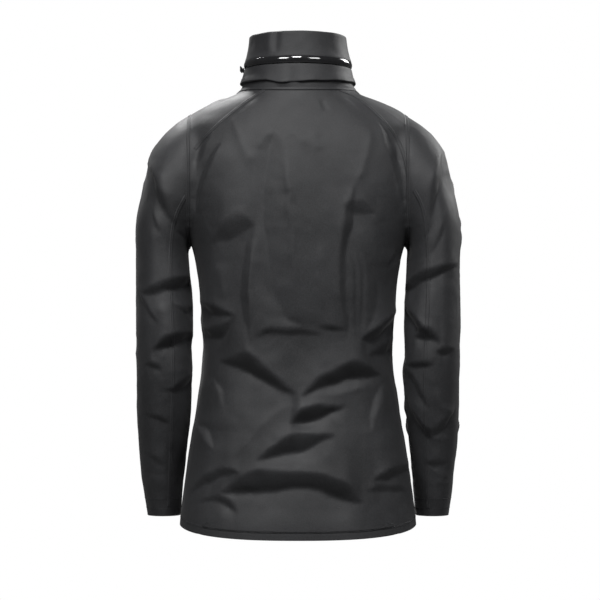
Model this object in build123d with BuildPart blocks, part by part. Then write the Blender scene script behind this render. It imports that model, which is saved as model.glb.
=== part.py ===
from build123d import *
import math
import os

# Hardshell jacket in its worn shape, empty. Millimetres.
# Origin: centre of the neck opening at the collar seam. +Z is up and the front faces -Y,
# so +X is the wearer's left.

os.makedirs("parts", exist_ok=True)

SIDES = {"left": 1, "right": -1}  # sign of X on each side

# Extent of the blocks that cut the panels
BIG = 500.0
BOTTOM, TOP = -800.0, 60.0
REACH = 400.0

# Body
BODY_WALL = 2.0
ARMHOLE_X = 178.0  # plane of the armhole seam, each side
ARMHOLE_BOTTOM = -255.0
HEM_Z = -697.0  # hem height at the side seams
HEM_SLOPE = -0.139  # the hem drops towards the back
FRONT_R = 2268.0  # radius of the front closure line, a long shallow arc
FRONT_YC, FRONT_ZC = 2125.0, -430.0  # centre of that arc
ZIP_GAP = 16.5  # half the gap between the front panels
SLIT = 0.75  # half the slit between two zip tapes

# Sleeves
SLEEVE_WALL = 1.6
SHOULDER_X, SHOULDER_Z = 200.0, -150.0  # shoulder pivot, X on the +X side
HEAD_R = 112.0  # the sleeve head ends on this radius about the pivot
HEAD_GAP = 1.5
ELBOW_Y, ELBOW_Z = 35.0, -420.0  # elbow pivot
ELBOW_HALF = 46.0  # half angle of the elbow gusset, degrees
ELBOW_GAP = 0.75  # upper sleeve and forearm each stand this far from the pivot height
GUSSET_SETBACK = 1.2  # the gusset's point lies this far in front of the pivot
ELBOW_REACH = 150.0
SLEEVE_SEAM_X = 206.0  # seam between outer and under sleeve panels
CUFF_Z = -693.0

# Collar
COLLAR_BASE = 2.3
COLLAR_TOP = 96.0
COLLAR_WALL = 1.4
LINING_IN = 14.0  # the lining stands this far inside the outer face
COLLAR_ZIP_Z = 42.75
COLLAR_ZIP_R = 88.5  # radius of the zip about the neck axis
COLLAR_ZIP_HALF = 104.0  # the zip runs this many degrees each way from the centre back
COLLAR_ZIP_BAND = 5.5  # half height of the gap between the collar bands
BAND_GAP = 0.2  # clearance of the tapes and front pieces from the bands

# Body sections: height, half width, back Y, roundness. The front follows the closure arc.
COLLAR_SEAM = (2.0, 94.0, 90.0, 2.0)
BODY = [
    (-760.0, 200.0, 142.0, 2.5),
    (-720.0, 196.0, 139.0, 2.5),
    (-640.0, 188.5, 131.0, 2.5),
    (-570.0, 178.0, 124.0, 2.5),
    (-500.0, 166.0, 119.0, 2.5),
    (-420.0, 158.0, 120.0, 2.5),
    (-345.0, 163.0, 125.0, 2.5),
    (-250.0, 176.0, 127.5, 2.5),
    (-220.0, 188.0, 127.0, 2.5),
    (-160.0, 196.0, 124.0, 2.35),
    (-100.0, 200.0, 116.0, 2.15),
    (-60.0, 200.0, 107.0, 1.95),
    (-34.0, 180.0, 100.0, 1.75),
    (-9.0, 132.0, 93.0, 1.7),
    COLLAR_SEAM,
]
COLLAR = [
    COLLAR_SEAM,
    (COLLAR_ZIP_Z, COLLAR_ZIP_R, COLLAR_ZIP_R, 2.0),
    (COLLAR_TOP, 83.0, 84.0, 2.0),
]
# Sleeve sections on the +X side: centre x, y, z, direction from the inner to the outer
# edge as (x, z), half width along it, half depth in Y.
SLEEVE = [
    (ARMHOLE_X, 0.0, -141.0, (0.0, 1.0), 105.0, 80.0),
    (208.0, 0.0, -166.5, (0.339, 0.941), 85.5, 84.0),
    (218.75, 0.0, -199.0, (0.620, 0.784), 62.5, 81.0),
    (224.0, 0.0, -250.0, (1.0, 0.0), 44.0, 78.0),
    (223.0, 4.0, -300.0, (1.0, 0.0), 46.0, 75.0),
    (221.0, 8.0, -345.0, (1.0, 0.0), 48.0, 72.0),
    (219.75, 10.0, -420.0, (1.0, 0.0), 48.5, 68.0),
    (221.5, 0.0, -500.0, (1.0, 0.0), 47.0, 64.0),
    (226.0, -12.0, -570.0, (1.0, 0.0), 41.5, 60.0),
    (227.0, -26.0, -640.0, (1.0, 0.0), 33.5, 55.0),
    (226.0, -40.0, -712.0, (1.0, 0.0), 26.5, 50.0),
]
# Lower edge of a shoulder saddle on the +X side, from the neck outwards: x, z
SADDLE_EDGE = [
    (62, 3.2), (68, -2.0), (99, -15.5), (134, -44.0),
    (161, -80.0), (176, -113.0), (182, -127.0), (260, -127.0),
]

# Profile planes: SIDE_VIEW draws in world (Y, Z), FRONT_VIEW in world (X, Z)
SIDE_VIEW = Plane(origin=(0, 0, 0), x_dir=(0, 1, 0), z_dir=(1, 0, 0))
FRONT_VIEW = Plane(origin=(0, 0, 0), x_dir=(1, 0, 0), z_dir=(0, -1, 0))


# ---------------------------------------------------------------------------
# Shared shapes
# ---------------------------------------------------------------------------
def save(part, name):
    part.label = name
    export_step(part, f"parts/{name}.step")


def front_y(z):
    """Y of the front closure line at height z."""
    return FRONT_YC - math.sqrt(FRONT_R**2 - (z - FRONT_ZC) ** 2)


def oval_point(angle, half_width, back, front, roundness):
    """Point of a rounded outline at an angle in radians, -90 degrees at the front."""
    middle, half_depth = (back + front) / 2, (back - front) / 2
    cosine, sine = math.cos(angle), math.sin(angle)
    return (
        half_width * math.copysign(abs(cosine) ** (2 / roundness), cosine),
        middle + half_depth * math.copysign(abs(sine) ** (2 / roundness), sine),
    )


def oval(half_width, back, front, roundness, count=24):
    """Points of a rounded outline, from the front round to the front."""
    angles = [2 * math.pi * i / count - math.pi / 2 for i in range(count)]
    return [oval_point(angle, half_width, back, front, roundness) for angle in angles]


def ring_loft(rows, inset):
    """A closed body through the rows, each drawn inset inside its outline."""
    with BuildPart() as block:
        for z, half_width, back, roundness in rows:
            with BuildSketch(Plane.XY.offset(z)):
                with BuildLine():
                    Spline(
                        *oval(half_width - inset, back - inset, front_y(z) + inset, roundness),
                        periodic=True,
                    )
                make_face()
        loft(ruled=True)
    return block.part


def ring_shell(rows, outer, inner):
    """The wall between two insets of the rows."""
    with BuildPart() as block:
        add(ring_loft(rows, outer))
        add(ring_loft(rows, inner), mode=Mode.SUBTRACT)
    return block.part


def sleeve_loft(inset, sign):
    """The closed body of a sleeve, each section drawn inset inside its outline."""
    with BuildPart() as block:
        for x, y, z, (across_x, across_z), half_width, half_depth in SLEEVE:
            plane = Plane(
                origin=(sign * x, y, z),
                x_dir=(sign * across_x, 0, across_z),
                z_dir=(sign * across_z, 0, -across_x),
            )
            with BuildSketch(plane):
                Ellipse(half_width - inset, half_depth - inset)
        loft(ruled=True)
    return block.part


def sleeve_shell(sign, outer, inner):
    """The wall between two insets of a sleeve."""
    with BuildPart() as block:
        add(sleeve_loft(outer, sign))
        add(sleeve_loft(inner, sign), mode=Mode.SUBTRACT)
    return block.part


def prism(points, plane, depth):
    """A polygon extruded both ways from its plane."""
    with BuildPart() as block:
        with BuildSketch(plane):
            with BuildLine():
                Polyline(*points, close=True)
            make_face()
        extrude(amount=depth, both=True)
    return block.part


def slab(x0, x1, y0, y1, z0, z1):
    """A box between limits; x0 and x1 may come in either order."""
    with BuildPart() as block:
        with Locations(((x0 + x1) / 2, (y0 + y1) / 2, (z0 + z1) / 2)):
            Box(abs(x1 - x0), y1 - y0, z1 - z0)
    return block.part


def layer(z0, z1):
    """Everything between two heights."""
    return slab(-BIG, BIG, -BIG, BIG, z0, z1)


def hem_block(lift, far_z):
    """Everything between the sloping hem line, raised by lift, and the height far_z."""
    near = [(y, HEM_Z + HEM_SLOPE * y + lift) for y in (-REACH, REACH)]
    return prism([*near, (REACH, far_z), (-REACH, far_z)], SIDE_VIEW, REACH)


def above_hem(lift=0.0):
    return hem_block(lift, 200.0)


# ---------------------------------------------------------------------------
# Zip sliders. Their planes have local y along the zip and local z outwards.
# ---------------------------------------------------------------------------
SLIDER_CORNER_R = 2.4
PLATE_OUT, PLATE_OUT_THICK = 1.3, 1.6  # outer plate: inner face and thickness
PLATE_IN, PLATE_IN_THICK = -3.4, 1.4  # inner plate: outer face and thickness
NECK_WIDTH, NECK_LENGTH = 1.0, 3.2
NECK_START, NECK_HEIGHT = -3.6, 5.2
CROWN_START, CROWN_WIDTH = 2.7, 3.0
PULL_AXIS = 4.5  # height of the pull's pin
PULL_THICK = 1.4
PIN_LENGTH = 5.2


def across_zip(plane, height, width):
    """A plane for drawing a slider's side profile, to be extruded by width."""
    return Plane(
        origin=plane.offset(height).origin - plane.x_dir * (width / 2),
        x_dir=plane.y_dir,
        z_dir=plane.x_dir,
    )


def slider_body(plane, direction=1, width=9.0, length=13.0):
    """Two plates, the neck in the slit at the direction end, and the pull's crown."""
    with BuildPart() as body:
        with BuildSketch(plane.offset(PLATE_OUT)):
            RectangleRounded(width, length, SLIDER_CORNER_R)
        extrude(amount=PLATE_OUT_THICK)
        fillet(body.faces().sort_by(SortBy.AREA)[-1].edges(), 0.15)
        with BuildSketch(plane.offset(PLATE_IN)):
            RectangleRounded(width, length, SLIDER_CORNER_R)
        extrude(amount=-PLATE_IN_THICK)
        with BuildSketch(plane.offset(NECK_START)):
            with Locations((0, direction * (length / 2 - 2.4))):
                Rectangle(NECK_WIDTH, NECK_LENGTH)
        extrude(amount=NECK_HEIGHT)
        with BuildSketch(across_zip(plane, CROWN_START, CROWN_WIDTH)):
            with BuildLine():
                Polyline((-4.6, 0), (-3.4, 3.9), (3.4, 3.9), (4.6, 0), close=True)
            make_face()
            with Locations((0, 1.55)):
                Rectangle(4.6, 2.9, mode=Mode.SUBTRACT)
        extrude(amount=CROWN_WIDTH)
    return body.part


def slider_pull(plane, direction=1):
    """The pull: direction 1 hangs it towards local -y, -1 lays it towards local +y."""
    with BuildPart() as pull:
        with BuildSketch(plane.offset(PULL_AXIS).offset(-PULL_THICK / 2)):
            with Locations((0, -direction * 10.85)):
                RectangleRounded(8.6, 24.3, 1.2)
            # window round the crown
            with Locations((0, -direction * 2.8)):
                Rectangle(4.4, 10.6, mode=Mode.SUBTRACT)
            # slot near the free end
            with Locations((0, -direction * 18.4)):
                SlotOverall(5.2, 2.4, mode=Mode.SUBTRACT)
        extrude(amount=PULL_THICK)
        with BuildSketch(across_zip(plane, PULL_AXIS, PIN_LENGTH)):
            Circle(PULL_THICK / 2)
        extrude(amount=PIN_LENGTH)
    return pull.part


# ---------------------------------------------------------------------------
# Hand pocket zip line
# ---------------------------------------------------------------------------
POCKET_X = 118.0  # centre line of a hand pocket zip
POCKET_Z0, POCKET_Z1 = -640.0, -478.0
POCKET_ROUNDNESS = 2.5  # roundness of the body sections over the pocket


def pocket_end(sign, z):
    """The point of the pocket's zip line at height z, on the front of the body."""
    for (z0, width0, back0, _), (z1, width1, back1, _) in zip(BODY, BODY[1:]):
        if z0 <= z <= z1:
            part_way = (z - z0) / (z1 - z0)
            half_width = width0 + part_way * (width1 - width0)
            back = back0 + part_way * (back1 - back0)
            front = front_y(z0) + part_way * (front_y(z1) - front_y(z0))
            middle, half_depth = (back + front) / 2, (back - front) / 2
            bulge = (1 - (POCKET_X / half_width) ** POCKET_ROUNDNESS) ** (1 / POCKET_ROUNDNESS)
            return Vector(sign * POCKET_X, middle - half_depth * bulge, z)


POCKET_LENGTH = (pocket_end(1, POCKET_Z1) - pocket_end(1, POCKET_Z0)).length


def pocket_plane(sign, along=0.0):
    """A plane on the pocket zip line: local y runs up the zip, local z points outwards."""
    low, high = pocket_end(sign, POCKET_Z0), pocket_end(sign, POCKET_Z1)
    up = (high - low).normalized()
    # outward direction of the front panel here, squared to the zip
    out = Vector(sign * 0.52, -0.85, 0)
    out = (out - up * out.dot(up)).normalized()
    return Plane(origin=(low + high) * 0.5 + up * along, x_dir=up.cross(out), z_dir=out)


# ---------------------------------------------------------------------------
# Body panels
# ---------------------------------------------------------------------------
POCKET_OPENING_WIDTH = 16.0
POCKET_OPENING_EXTRA = 14.0  # the opening is this much longer than the zip line


def saddle_zone(sign):
    """Everything above the lower edge of a shoulder saddle."""
    edge = [(sign * x, z) for x, z in SADDLE_EDGE]
    corners = [(sign * SADDLE_EDGE[-1][0], TOP), (sign * SADDLE_EDGE[0][0], TOP)]
    return prism(edge + corners, FRONT_VIEW, 300)


def armhole_limits():
    """The body is cut at the armhole planes only where the sleeves join it."""
    with BuildPart() as block:
        add(slab(-ARMHOLE_X, ARMHOLE_X, -BIG, BIG, ARMHOLE_BOTTOM, TOP))
        add(layer(BOTTOM, ARMHOLE_BOTTOM))
    return block.part


def back_panel(body_shell, within_armholes):
    with BuildPart() as panel:
        add(body_shell)
        add(slab(-BIG, BIG, 0, BIG, BOTTOM, TOP), mode=Mode.INTERSECT)
        add(within_armholes, mode=Mode.INTERSECT)
        add(above_hem(), mode=Mode.INTERSECT)
        for sign in SIDES.values():
            add(saddle_zone(sign), mode=Mode.SUBTRACT)
    return panel.part


def front_panel(body_shell, within_armholes, sign):
    with BuildPart() as panel:
        add(body_shell)
        add(slab(sign * ZIP_GAP, sign * BIG, -BIG, 0, BOTTOM, TOP), mode=Mode.INTERSECT)
        add(within_armholes, mode=Mode.INTERSECT)
        add(above_hem(), mode=Mode.INTERSECT)
        add(saddle_zone(sign), mode=Mode.SUBTRACT)
        with BuildSketch(pocket_plane(sign)):
            Rectangle(POCKET_OPENING_WIDTH, POCKET_LENGTH + POCKET_OPENING_EXTRA)
        extrude(amount=25, both=True, mode=Mode.SUBTRACT)
    return panel.part


def shoulder_saddle(body_shell, within_armholes, sign):
    with BuildPart() as saddle:
        add(body_shell)
        add(saddle_zone(sign), mode=Mode.INTERSECT)
        add(within_armholes, mode=Mode.INTERSECT)
    return saddle.part


def save_body():
    body_shell = ring_shell(BODY, 0, BODY_WALL)
    within_armholes = armhole_limits()
    save(back_panel(body_shell, within_armholes), "back_panel")
    for side, sign in SIDES.items():
        save(front_panel(body_shell, within_armholes, sign), f"front_panel_{side}")
        save(shoulder_saddle(body_shell, within_armholes, sign), f"shoulder_saddle_{side}")


save_body()

# ---------------------------------------------------------------------------
# Sleeves: a fixed head on the armhole, an upper sleeve, an elbow gusset and a forearm
# ---------------------------------------------------------------------------
CUFF_FACING_INSETS = (SLEEVE_WALL + 0.4, SLEEVE_WALL + 1.2)
CUFF_FACING_Z = (CUFF_Z + 0.5, CUFF_Z + 28.5)
CUFF_TAB_INSETS = (-2.6, -1.2)  # the tab lies outside the sleeve
CUFF_TAB_X = (206.0, 243.0)
CUFF_TAB_BACK = -45.0
CUFF_TAB_Z = (CUFF_Z + 6, CUFF_Z + 34)
ELBOW_SLOPE = math.tan(math.radians(ELBOW_HALF))


def head_zone(sign, radius):
    """A disc about the shoulder pivot and everything above the pivot."""
    with BuildPart() as block:
        with BuildSketch(FRONT_VIEW):
            with Locations((sign * SHOULDER_X, SHOULDER_Z)):
                Circle(radius)
            with Locations((sign * SHOULDER_X, SHOULDER_Z + 100)):
                Rectangle(400, 200)
        extrude(amount=200, both=True)
    return block.part


def beyond_elbow(up):
    """Everything above (up 1) or below (up -1) the elbow gusset."""
    front, back = ELBOW_Y - ELBOW_REACH, ELBOW_Y + ELBOW_REACH
    edge_z = ELBOW_Z + up * ELBOW_GAP
    far_z = ELBOW_Z + up * REACH
    return prism(
        [
            (back, edge_z),
            (ELBOW_Y, edge_z),
            (front, edge_z + up * ELBOW_REACH * ELBOW_SLOPE),
            (front, far_z),
            (back, far_z),
        ],
        SIDE_VIEW,
        REACH,
    )


def elbow_wedge():
    """The wedge of the gusset, widening towards the front."""
    front = ELBOW_Y - ELBOW_REACH
    rise = (ELBOW_REACH - GUSSET_SETBACK) * ELBOW_SLOPE
    return prism(
        [(ELBOW_Y - GUSSET_SETBACK, ELBOW_Z), (front, ELBOW_Z + rise), (front, ELBOW_Z - rise)],
        SIDE_VIEW,
        REACH,
    )


def sleeve_piece(tube, zone):
    """The part of a sleeve or cuff wall inside one zone."""
    with BuildPart() as piece:
        add(tube)
        add(zone, mode=Mode.INTERSECT)
    return piece.part


def upper_sleeve(tube, sign, zone):
    with BuildPart() as upper:
        add(tube)
        add(head_zone(sign, HEAD_R + HEAD_GAP), mode=Mode.SUBTRACT)
        add(beyond_elbow(1), mode=Mode.INTERSECT)
        add(zone, mode=Mode.INTERSECT)
    return upper.part


def forearm(tube, zone):
    with BuildPart() as fore:
        add(tube)
        add(beyond_elbow(-1), mode=Mode.INTERSECT)
        add(zone, mode=Mode.INTERSECT)
        add(layer(CUFF_Z, TOP), mode=Mode.INTERSECT)
    return fore.part


def save_sleeve(side, sign):
    tube = sleeve_shell(sign, 0, SLEEVE_WALL)
    save(sleeve_piece(tube, head_zone(sign, HEAD_R)), f"sleeve_head_{side}")
    for name, limit_x in (("outer", BIG), ("under", 0.0)):
        zone = slab(sign * SLEEVE_SEAM_X, sign * limit_x, -BIG, BIG, BOTTOM, TOP)
        save(upper_sleeve(tube, sign, zone), f"upper_sleeve_{name}_{side}")
        save(forearm(tube, zone), f"forearm_{name}_{side}")
    save(sleeve_piece(tube, elbow_wedge()), f"elbow_gusset_{side}")

    facing = sleeve_shell(sign, *CUFF_FACING_INSETS)
    save(sleeve_piece(facing, layer(*CUFF_FACING_Z)), f"cuff_facing_{side}")

    # the tab lies over the front of the cuff
    tab_x0, tab_x1 = CUFF_TAB_X
    tab_zone = slab(sign * tab_x0, sign * tab_x1, -BIG, CUFF_TAB_BACK, *CUFF_TAB_Z)
    save(sleeve_piece(sleeve_shell(sign, *CUFF_TAB_INSETS), tab_zone), f"cuff_tab_{side}")


for side, sign in SIDES.items():
    save_sleeve(side, sign)

# ---------------------------------------------------------------------------
# Hem: facing, drawcord, cord anchors and cord locks
# ---------------------------------------------------------------------------
HEM_BAND = 32.0  # height of the top of the facing above the hem
FACING_LIFT = 0.6
CORD_LIFT = 11.0  # height of the cord above the hem
CORD_OVAL = (187.5, 128.0, -119.0, 2.5)  # half width, back, front, roundness
CORD_OPEN = 14  # the cord stops this many degrees each side of the centre front
CORD_POINTS = 28
HEM_CORD_R = 1.5
TAIL_R = 1.4
TAIL_X, TAIL_Y = 92.0, -92.0  # middle of a doubled tail, X on the +X side
TAIL_HALF = 2.5  # half the spacing of its strands
TAIL_TOP, TAIL_END = -585.0, -671.0
LOCK_Z, LOCK_HEIGHT = -645.0, 18
BORE_R, BUTTON_R = 4.6, 4.3


def hem_facing():
    with BuildPart() as facing:
        add(ring_shell(BODY[:3], BODY_WALL + 0.4, BODY_WALL + 1.4))
        add(above_hem(FACING_LIFT), mode=Mode.INTERSECT)
        add(hem_block(HEM_BAND, BOTTOM), mode=Mode.INTERSECT)
        add(slab(-ZIP_GAP, ZIP_GAP, -BIG, 0, BOTTOM, TOP), mode=Mode.SUBTRACT)
    return facing.part


def hem_cord_points():
    """Points of the cord's run round the hem, parallel to the hem line."""
    points = []
    for i in range(CORD_POINTS):
        degrees = -90 + CORD_OPEN + (360 - 2 * CORD_OPEN) * i / (CORD_POINTS - 1)
        x, y = oval_point(math.radians(degrees), *CORD_OVAL)
        points.append((x, y, HEM_Z + HEM_SLOPE * y + CORD_LIFT))
    return points


def hem_drawcord():
    """The run round the hem, and a doubled tail hanging inside each front."""
    with BuildPart() as drawcord:
        with BuildLine() as hem_line:
            Spline(*hem_cord_points())
        with BuildSketch(Plane(origin=hem_line.line @ 0, z_dir=hem_line.line % 0)):
            Circle(HEM_CORD_R)
        sweep(path=hem_line.line)
        for sign in SIDES.values():
            x, y = sign * TAIL_X, TAIL_Y
            x0, x1 = x - TAIL_HALF, x + TAIL_HALF
            with BuildLine() as tail_line:
                Line((x0, y, TAIL_TOP), (x0, y, TAIL_END))
                ThreePointArc((x0, y, TAIL_END), (x, y, TAIL_END - TAIL_HALF), (x1, y, TAIL_END))
                Line((x1, y, TAIL_END), (x1, y, TAIL_TOP))
            with BuildSketch(Plane(origin=(x0, y, TAIL_TOP), z_dir=(0, 0, -1))) as cord_end:
                Circle(TAIL_R)
            sweep(sections=cord_end.sketch, path=tail_line.wire())
    return drawcord.part


def drawcord_anchor(sign):
    """A rounded plate on top of the tail."""
    with BuildPart() as anchor:
        with BuildSketch(Plane.XY.offset(TAIL_TOP)):
            with Locations((sign * TAIL_X, TAIL_Y - 5)):
                RectangleRounded(16, 18, 3)
        extrude(amount=3)
        fillet(anchor.faces().sort_by(Axis.Z)[-1].edges(), 0.8)
    return anchor.part


def button_plane(sign, forward):
    """A plane on the lock's bore axis, facing the back, this far in front of the tail."""
    return Plane(
        origin=(sign * TAIL_X, TAIL_Y - forward, LOCK_Z + LOCK_HEIGHT / 2),
        x_dir=(1, 0, 0),
        z_dir=(0, 1, 0),
    )


def hem_cord_lock(sign):
    with BuildPart() as lock:
        with BuildSketch(Plane.XY.offset(LOCK_Z)):
            with Locations((sign * TAIL_X, TAIL_Y)):
                RectangleRounded(15, 11, 4)
        extrude(amount=LOCK_HEIGHT)
        fillet(lock.faces().filter_by(Axis.Z).edges(), 1.5)
        # slot for both strands
        with BuildSketch(Plane.XY.offset(LOCK_Z - 1)):
            with Locations((sign * TAIL_X, TAIL_Y)):
                RectangleRounded(9.4, 4.2, 2.0)
        extrude(amount=LOCK_HEIGHT + 2, mode=Mode.SUBTRACT)
        # blind bore for the button, open at the front
        with BuildSketch(button_plane(sign, 7)):
            Circle(BORE_R)
        extrude(amount=11, mode=Mode.SUBTRACT)
    return lock.part


def cord_lock_button(sign):
    with BuildPart() as button:
        with BuildSketch(button_plane(sign, 10.5)):
            Circle(BUTTON_R)
        extrude(amount=7.9)
        fillet(button.faces().sort_by(Axis.Y)[0].edges(), 1.2)
    return button.part


save(hem_facing(), "hem_facing")
save(hem_drawcord(), "hem_drawcord")
for side, sign in SIDES.items():
    save(drawcord_anchor(sign), f"drawcord_anchor_{side}")
    save(hem_cord_lock(sign), f"hem_cord_lock_{side}")
    save(cord_lock_button(sign), f"cord_lock_button_{side}")

# ---------------------------------------------------------------------------
# Collar: lower and upper band, front pieces, lining, chin guard, hood, hanger loop
# ---------------------------------------------------------------------------
ZIP_BAND_Z0 = COLLAR_ZIP_Z - COLLAR_ZIP_BAND
ZIP_BAND_Z1 = COLLAR_ZIP_Z + COLLAR_ZIP_BAND
FRONT_PIECE_GAP = 4  # degrees between a front piece and the end of the collar zip
CHIN_X = (18, 62)
CHIN_Z = (52, COLLAR_TOP - 2)
HOOD_HALF = 78  # the hood roll runs this many degrees each way from the centre back
HANGER_Y, HANGER_THICK = 70.2, 1.6


def collar_piece(outer, inner, z0, z1):
    """A collar layer between two insets and two heights, open at the front."""
    with BuildPart() as piece:
        add(ring_shell(COLLAR, outer, inner))
        add(layer(z0, z1), mode=Mode.INTERSECT)
        add(slab(-ZIP_GAP, ZIP_GAP, -BIG, 0, -50, 120), mode=Mode.SUBTRACT)
    return piece.part


def collar_front_panel(sign):
    """Joins the bands beside the front closure, where the collar zip ends."""
    angle = math.radians(-90 + (180 - COLLAR_ZIP_HALF) - FRONT_PIECE_GAP)
    edge = (sign * 200 * math.cos(angle), 200 * math.sin(angle))
    with BuildPart() as bridge:
        add(collar_piece(0, COLLAR_WALL, ZIP_BAND_Z0 + BAND_GAP, ZIP_BAND_Z1 - BAND_GAP))
        add(prism([(0, 0), edge, (0, -200)], Plane.XY, 200), mode=Mode.INTERSECT)
    return bridge.part


def chin_guard():
    """A patch inside the lining, on the wearer's left of the front closure."""
    with BuildPart() as chin:
        add(ring_shell(COLLAR, LINING_IN + 1.6, LINING_IN + 2.6))
        add(slab(*CHIN_X, -BIG, 0, *CHIN_Z), mode=Mode.INTERSECT)
    return chin.part


def stowed_hood():
    """A flat roll round the back, between the outer bands and the lining."""
    with BuildPart() as hood:
        with BuildSketch(Plane.XZ):
            with Locations((COLLAR_ZIP_R - 4.9, 17.0)):
                RectangleRounded(6.6, 22.0, 3.0)
        revolve(axis=Axis.Z, revolution_arc=2 * HOOD_HALF)
    return hood.part.rotate(Axis.Z, 90 - HOOD_HALF)


def hanger_loop():
    """The lower part of a flat ring inside the back of the neck."""
    with BuildPart() as hanger:
        with BuildSketch(Plane.XZ.offset(-HANGER_Y)):
            with Locations((0, 6.0)):
                Circle(32.0)
                Circle(25.5, mode=Mode.SUBTRACT)
            with Locations((0, 21.6)):
                Rectangle(80, 40, mode=Mode.SUBTRACT)
        extrude(amount=-HANGER_THICK)
    return hanger.part


save(collar_piece(0, COLLAR_WALL, COLLAR_BASE, ZIP_BAND_Z0), "collar_lower_band")
save(collar_piece(0, COLLAR_WALL, ZIP_BAND_Z1, COLLAR_TOP), "collar_upper_band")
for side, sign in SIDES.items():
    save(collar_front_panel(sign), f"collar_front_panel_{side}")
save(collar_piece(LINING_IN, LINING_IN + 1.2, COLLAR_BASE, COLLAR_TOP - 1), "collar_lining")
save(chin_guard(), "chin_guard")
save(stowed_hood(), "stowed_hood")
save(hanger_loop(), "hanger_loop")

# ---------------------------------------------------------------------------
# Main zip, along the front closure arc
# ---------------------------------------------------------------------------
MAIN_Z0, MAIN_Z1 = -673.0, 88.0
MAIN_SLIDER_Z = 74.0
MAIN_TAPE_EDGE = ZIP_GAP - 0.3
MAIN_COIL_EDGE = 3.4
END_BOX_WIDTH, END_BOX_HEIGHT = 7.2, 5.6


def front_plane(z):
    """A plane on the front closure line: local y up the line, local z outwards."""
    y = front_y(z)
    out = Vector(0, y - FRONT_YC, z - FRONT_ZC).normalized()
    up = Vector(0, out.Z, -out.Y)
    return Plane(origin=(0, y, z), x_dir=up.cross(out), z_dir=out)


def front_strip(x0, x1, out0, out1, z0, z1):
    """A strip along the closure arc between two heights and two offsets outwards."""
    angle0, angle1 = (math.degrees(math.asin((z - FRONT_ZC) / FRONT_R)) for z in (z0, z1))
    start = front_plane(z0)
    with BuildPart() as block:
        with BuildSketch(Plane(origin=start.origin, x_dir=start.x_dir, z_dir=start.y_dir)):
            with Locations(((x0 + x1) / 2, -(out0 + out1) / 2)):
                Rectangle(abs(x1 - x0), out1 - out0)
        revolve(
            axis=Axis((0, FRONT_YC, FRONT_ZC), (-1, 0, 0)),
            revolution_arc=angle1 - angle0,
        )
    return block.part


def main_zip_end_box():
    """Outer and inner plates at the foot of the zip, joined through the slit."""
    plane = front_plane(MAIN_Z0 + 3.2)
    with BuildPart() as box:
        with BuildSketch(plane.offset(0.2)):
            Rectangle(END_BOX_WIDTH, END_BOX_HEIGHT)
        extrude(amount=0.9)
        with BuildSketch(plane.offset(-1.2)):
            Rectangle(END_BOX_WIDTH, END_BOX_HEIGHT)
        extrude(amount=-2.0)
        with BuildSketch(plane.offset(-1.4)):
            Rectangle(1.1, END_BOX_HEIGHT)
        extrude(amount=1.8)
    return box.part


def main_zip_top_stop():
    with BuildPart() as stop:
        with BuildSketch(front_plane(MAIN_Z1 - 1.6).offset(0.15)):
            Rectangle(6.0, 2.2)
        extrude(amount=0.9)
    return stop.part


for side, sign in SIDES.items():
    tape = front_strip(sign * SLIT, sign * MAIN_TAPE_EDGE, -1.0, 0.0, MAIN_Z0, MAIN_Z1)
    save(tape, f"main_zip_tape_{side}")
    coil = front_strip(sign * SLIT, sign * MAIN_COIL_EDGE, -3.0, -1.0, MAIN_Z0 + 8, MAIN_Z1 - 2)
    save(coil, f"main_zip_coil_{side}")
save(front_strip(-17, 17, -9.0, -8.0, -671, 60), "storm_flap")
save(main_zip_end_box(), "main_zip_end_box")
save(main_zip_top_stop(), "main_zip_top_stop")
save(slider_body(front_plane(MAIN_SLIDER_Z)), "main_zip_slider")
save(slider_pull(front_plane(MAIN_SLIDER_Z)), "main_zip_pull")

# ---------------------------------------------------------------------------
# Hand pockets
# ---------------------------------------------------------------------------
POCKET_TAPE_LENGTH = POCKET_LENGTH + 13.0
POCKET_TAPE_EDGE = 7.6
POCKET_COIL_EDGE = 3.0
BAG_X = (34.0, 150.0)
BAG_Z = (-660, -452)


def strip_pair(plane, edge, length, thickness):
    """Two strips along a zip, each from the slit out to edge."""
    middle = (SLIT + edge) / 2
    with BuildPart() as strips:
        with BuildSketch(plane):
            with Locations((-middle, 0), (middle, 0)):
                Rectangle(edge - SLIT, length)
        extrude(amount=thickness)
    return strips.part


def hand_pocket_bag(sign):
    """A single layer behind the front panel."""
    with BuildPart() as bag:
        add(ring_shell(BODY[:6], 11.0, 12.0))
        add(slab(sign * BAG_X[0], sign * BAG_X[1], -BIG, -20, *BAG_Z), mode=Mode.INTERSECT)
    return bag.part


for side, sign in SIDES.items():
    plane = pocket_plane(sign)
    tapes = strip_pair(plane.offset(-0.5), POCKET_TAPE_EDGE, POCKET_TAPE_LENGTH, 0.8)
    save(tapes, f"pocket_zip_tape_{side}")
    coils = strip_pair(plane.offset(-0.6), POCKET_COIL_EDGE, POCKET_TAPE_LENGTH - 8, -2.0)
    save(coils, f"pocket_zip_coil_{side}")
    slider_plane = pocket_plane(sign, POCKET_LENGTH / 2 - 8)
    save(slider_body(slider_plane, width=8.0, length=11.5), f"pocket_zip_slider_{side}")
    save(slider_pull(slider_plane), f"pocket_zip_pull_{side}")
    save(hand_pocket_bag(sign), f"hand_pocket_bag_{side}")

# ---------------------------------------------------------------------------
# Collar zip, a circular arc about the neck axis
# ---------------------------------------------------------------------------
COLLAR_TAPE_THICK = 0.9
COLLAR_SLIDER_ANGLE = COLLAR_ZIP_HALF - 9  # degrees from the centre back towards +X


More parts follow.
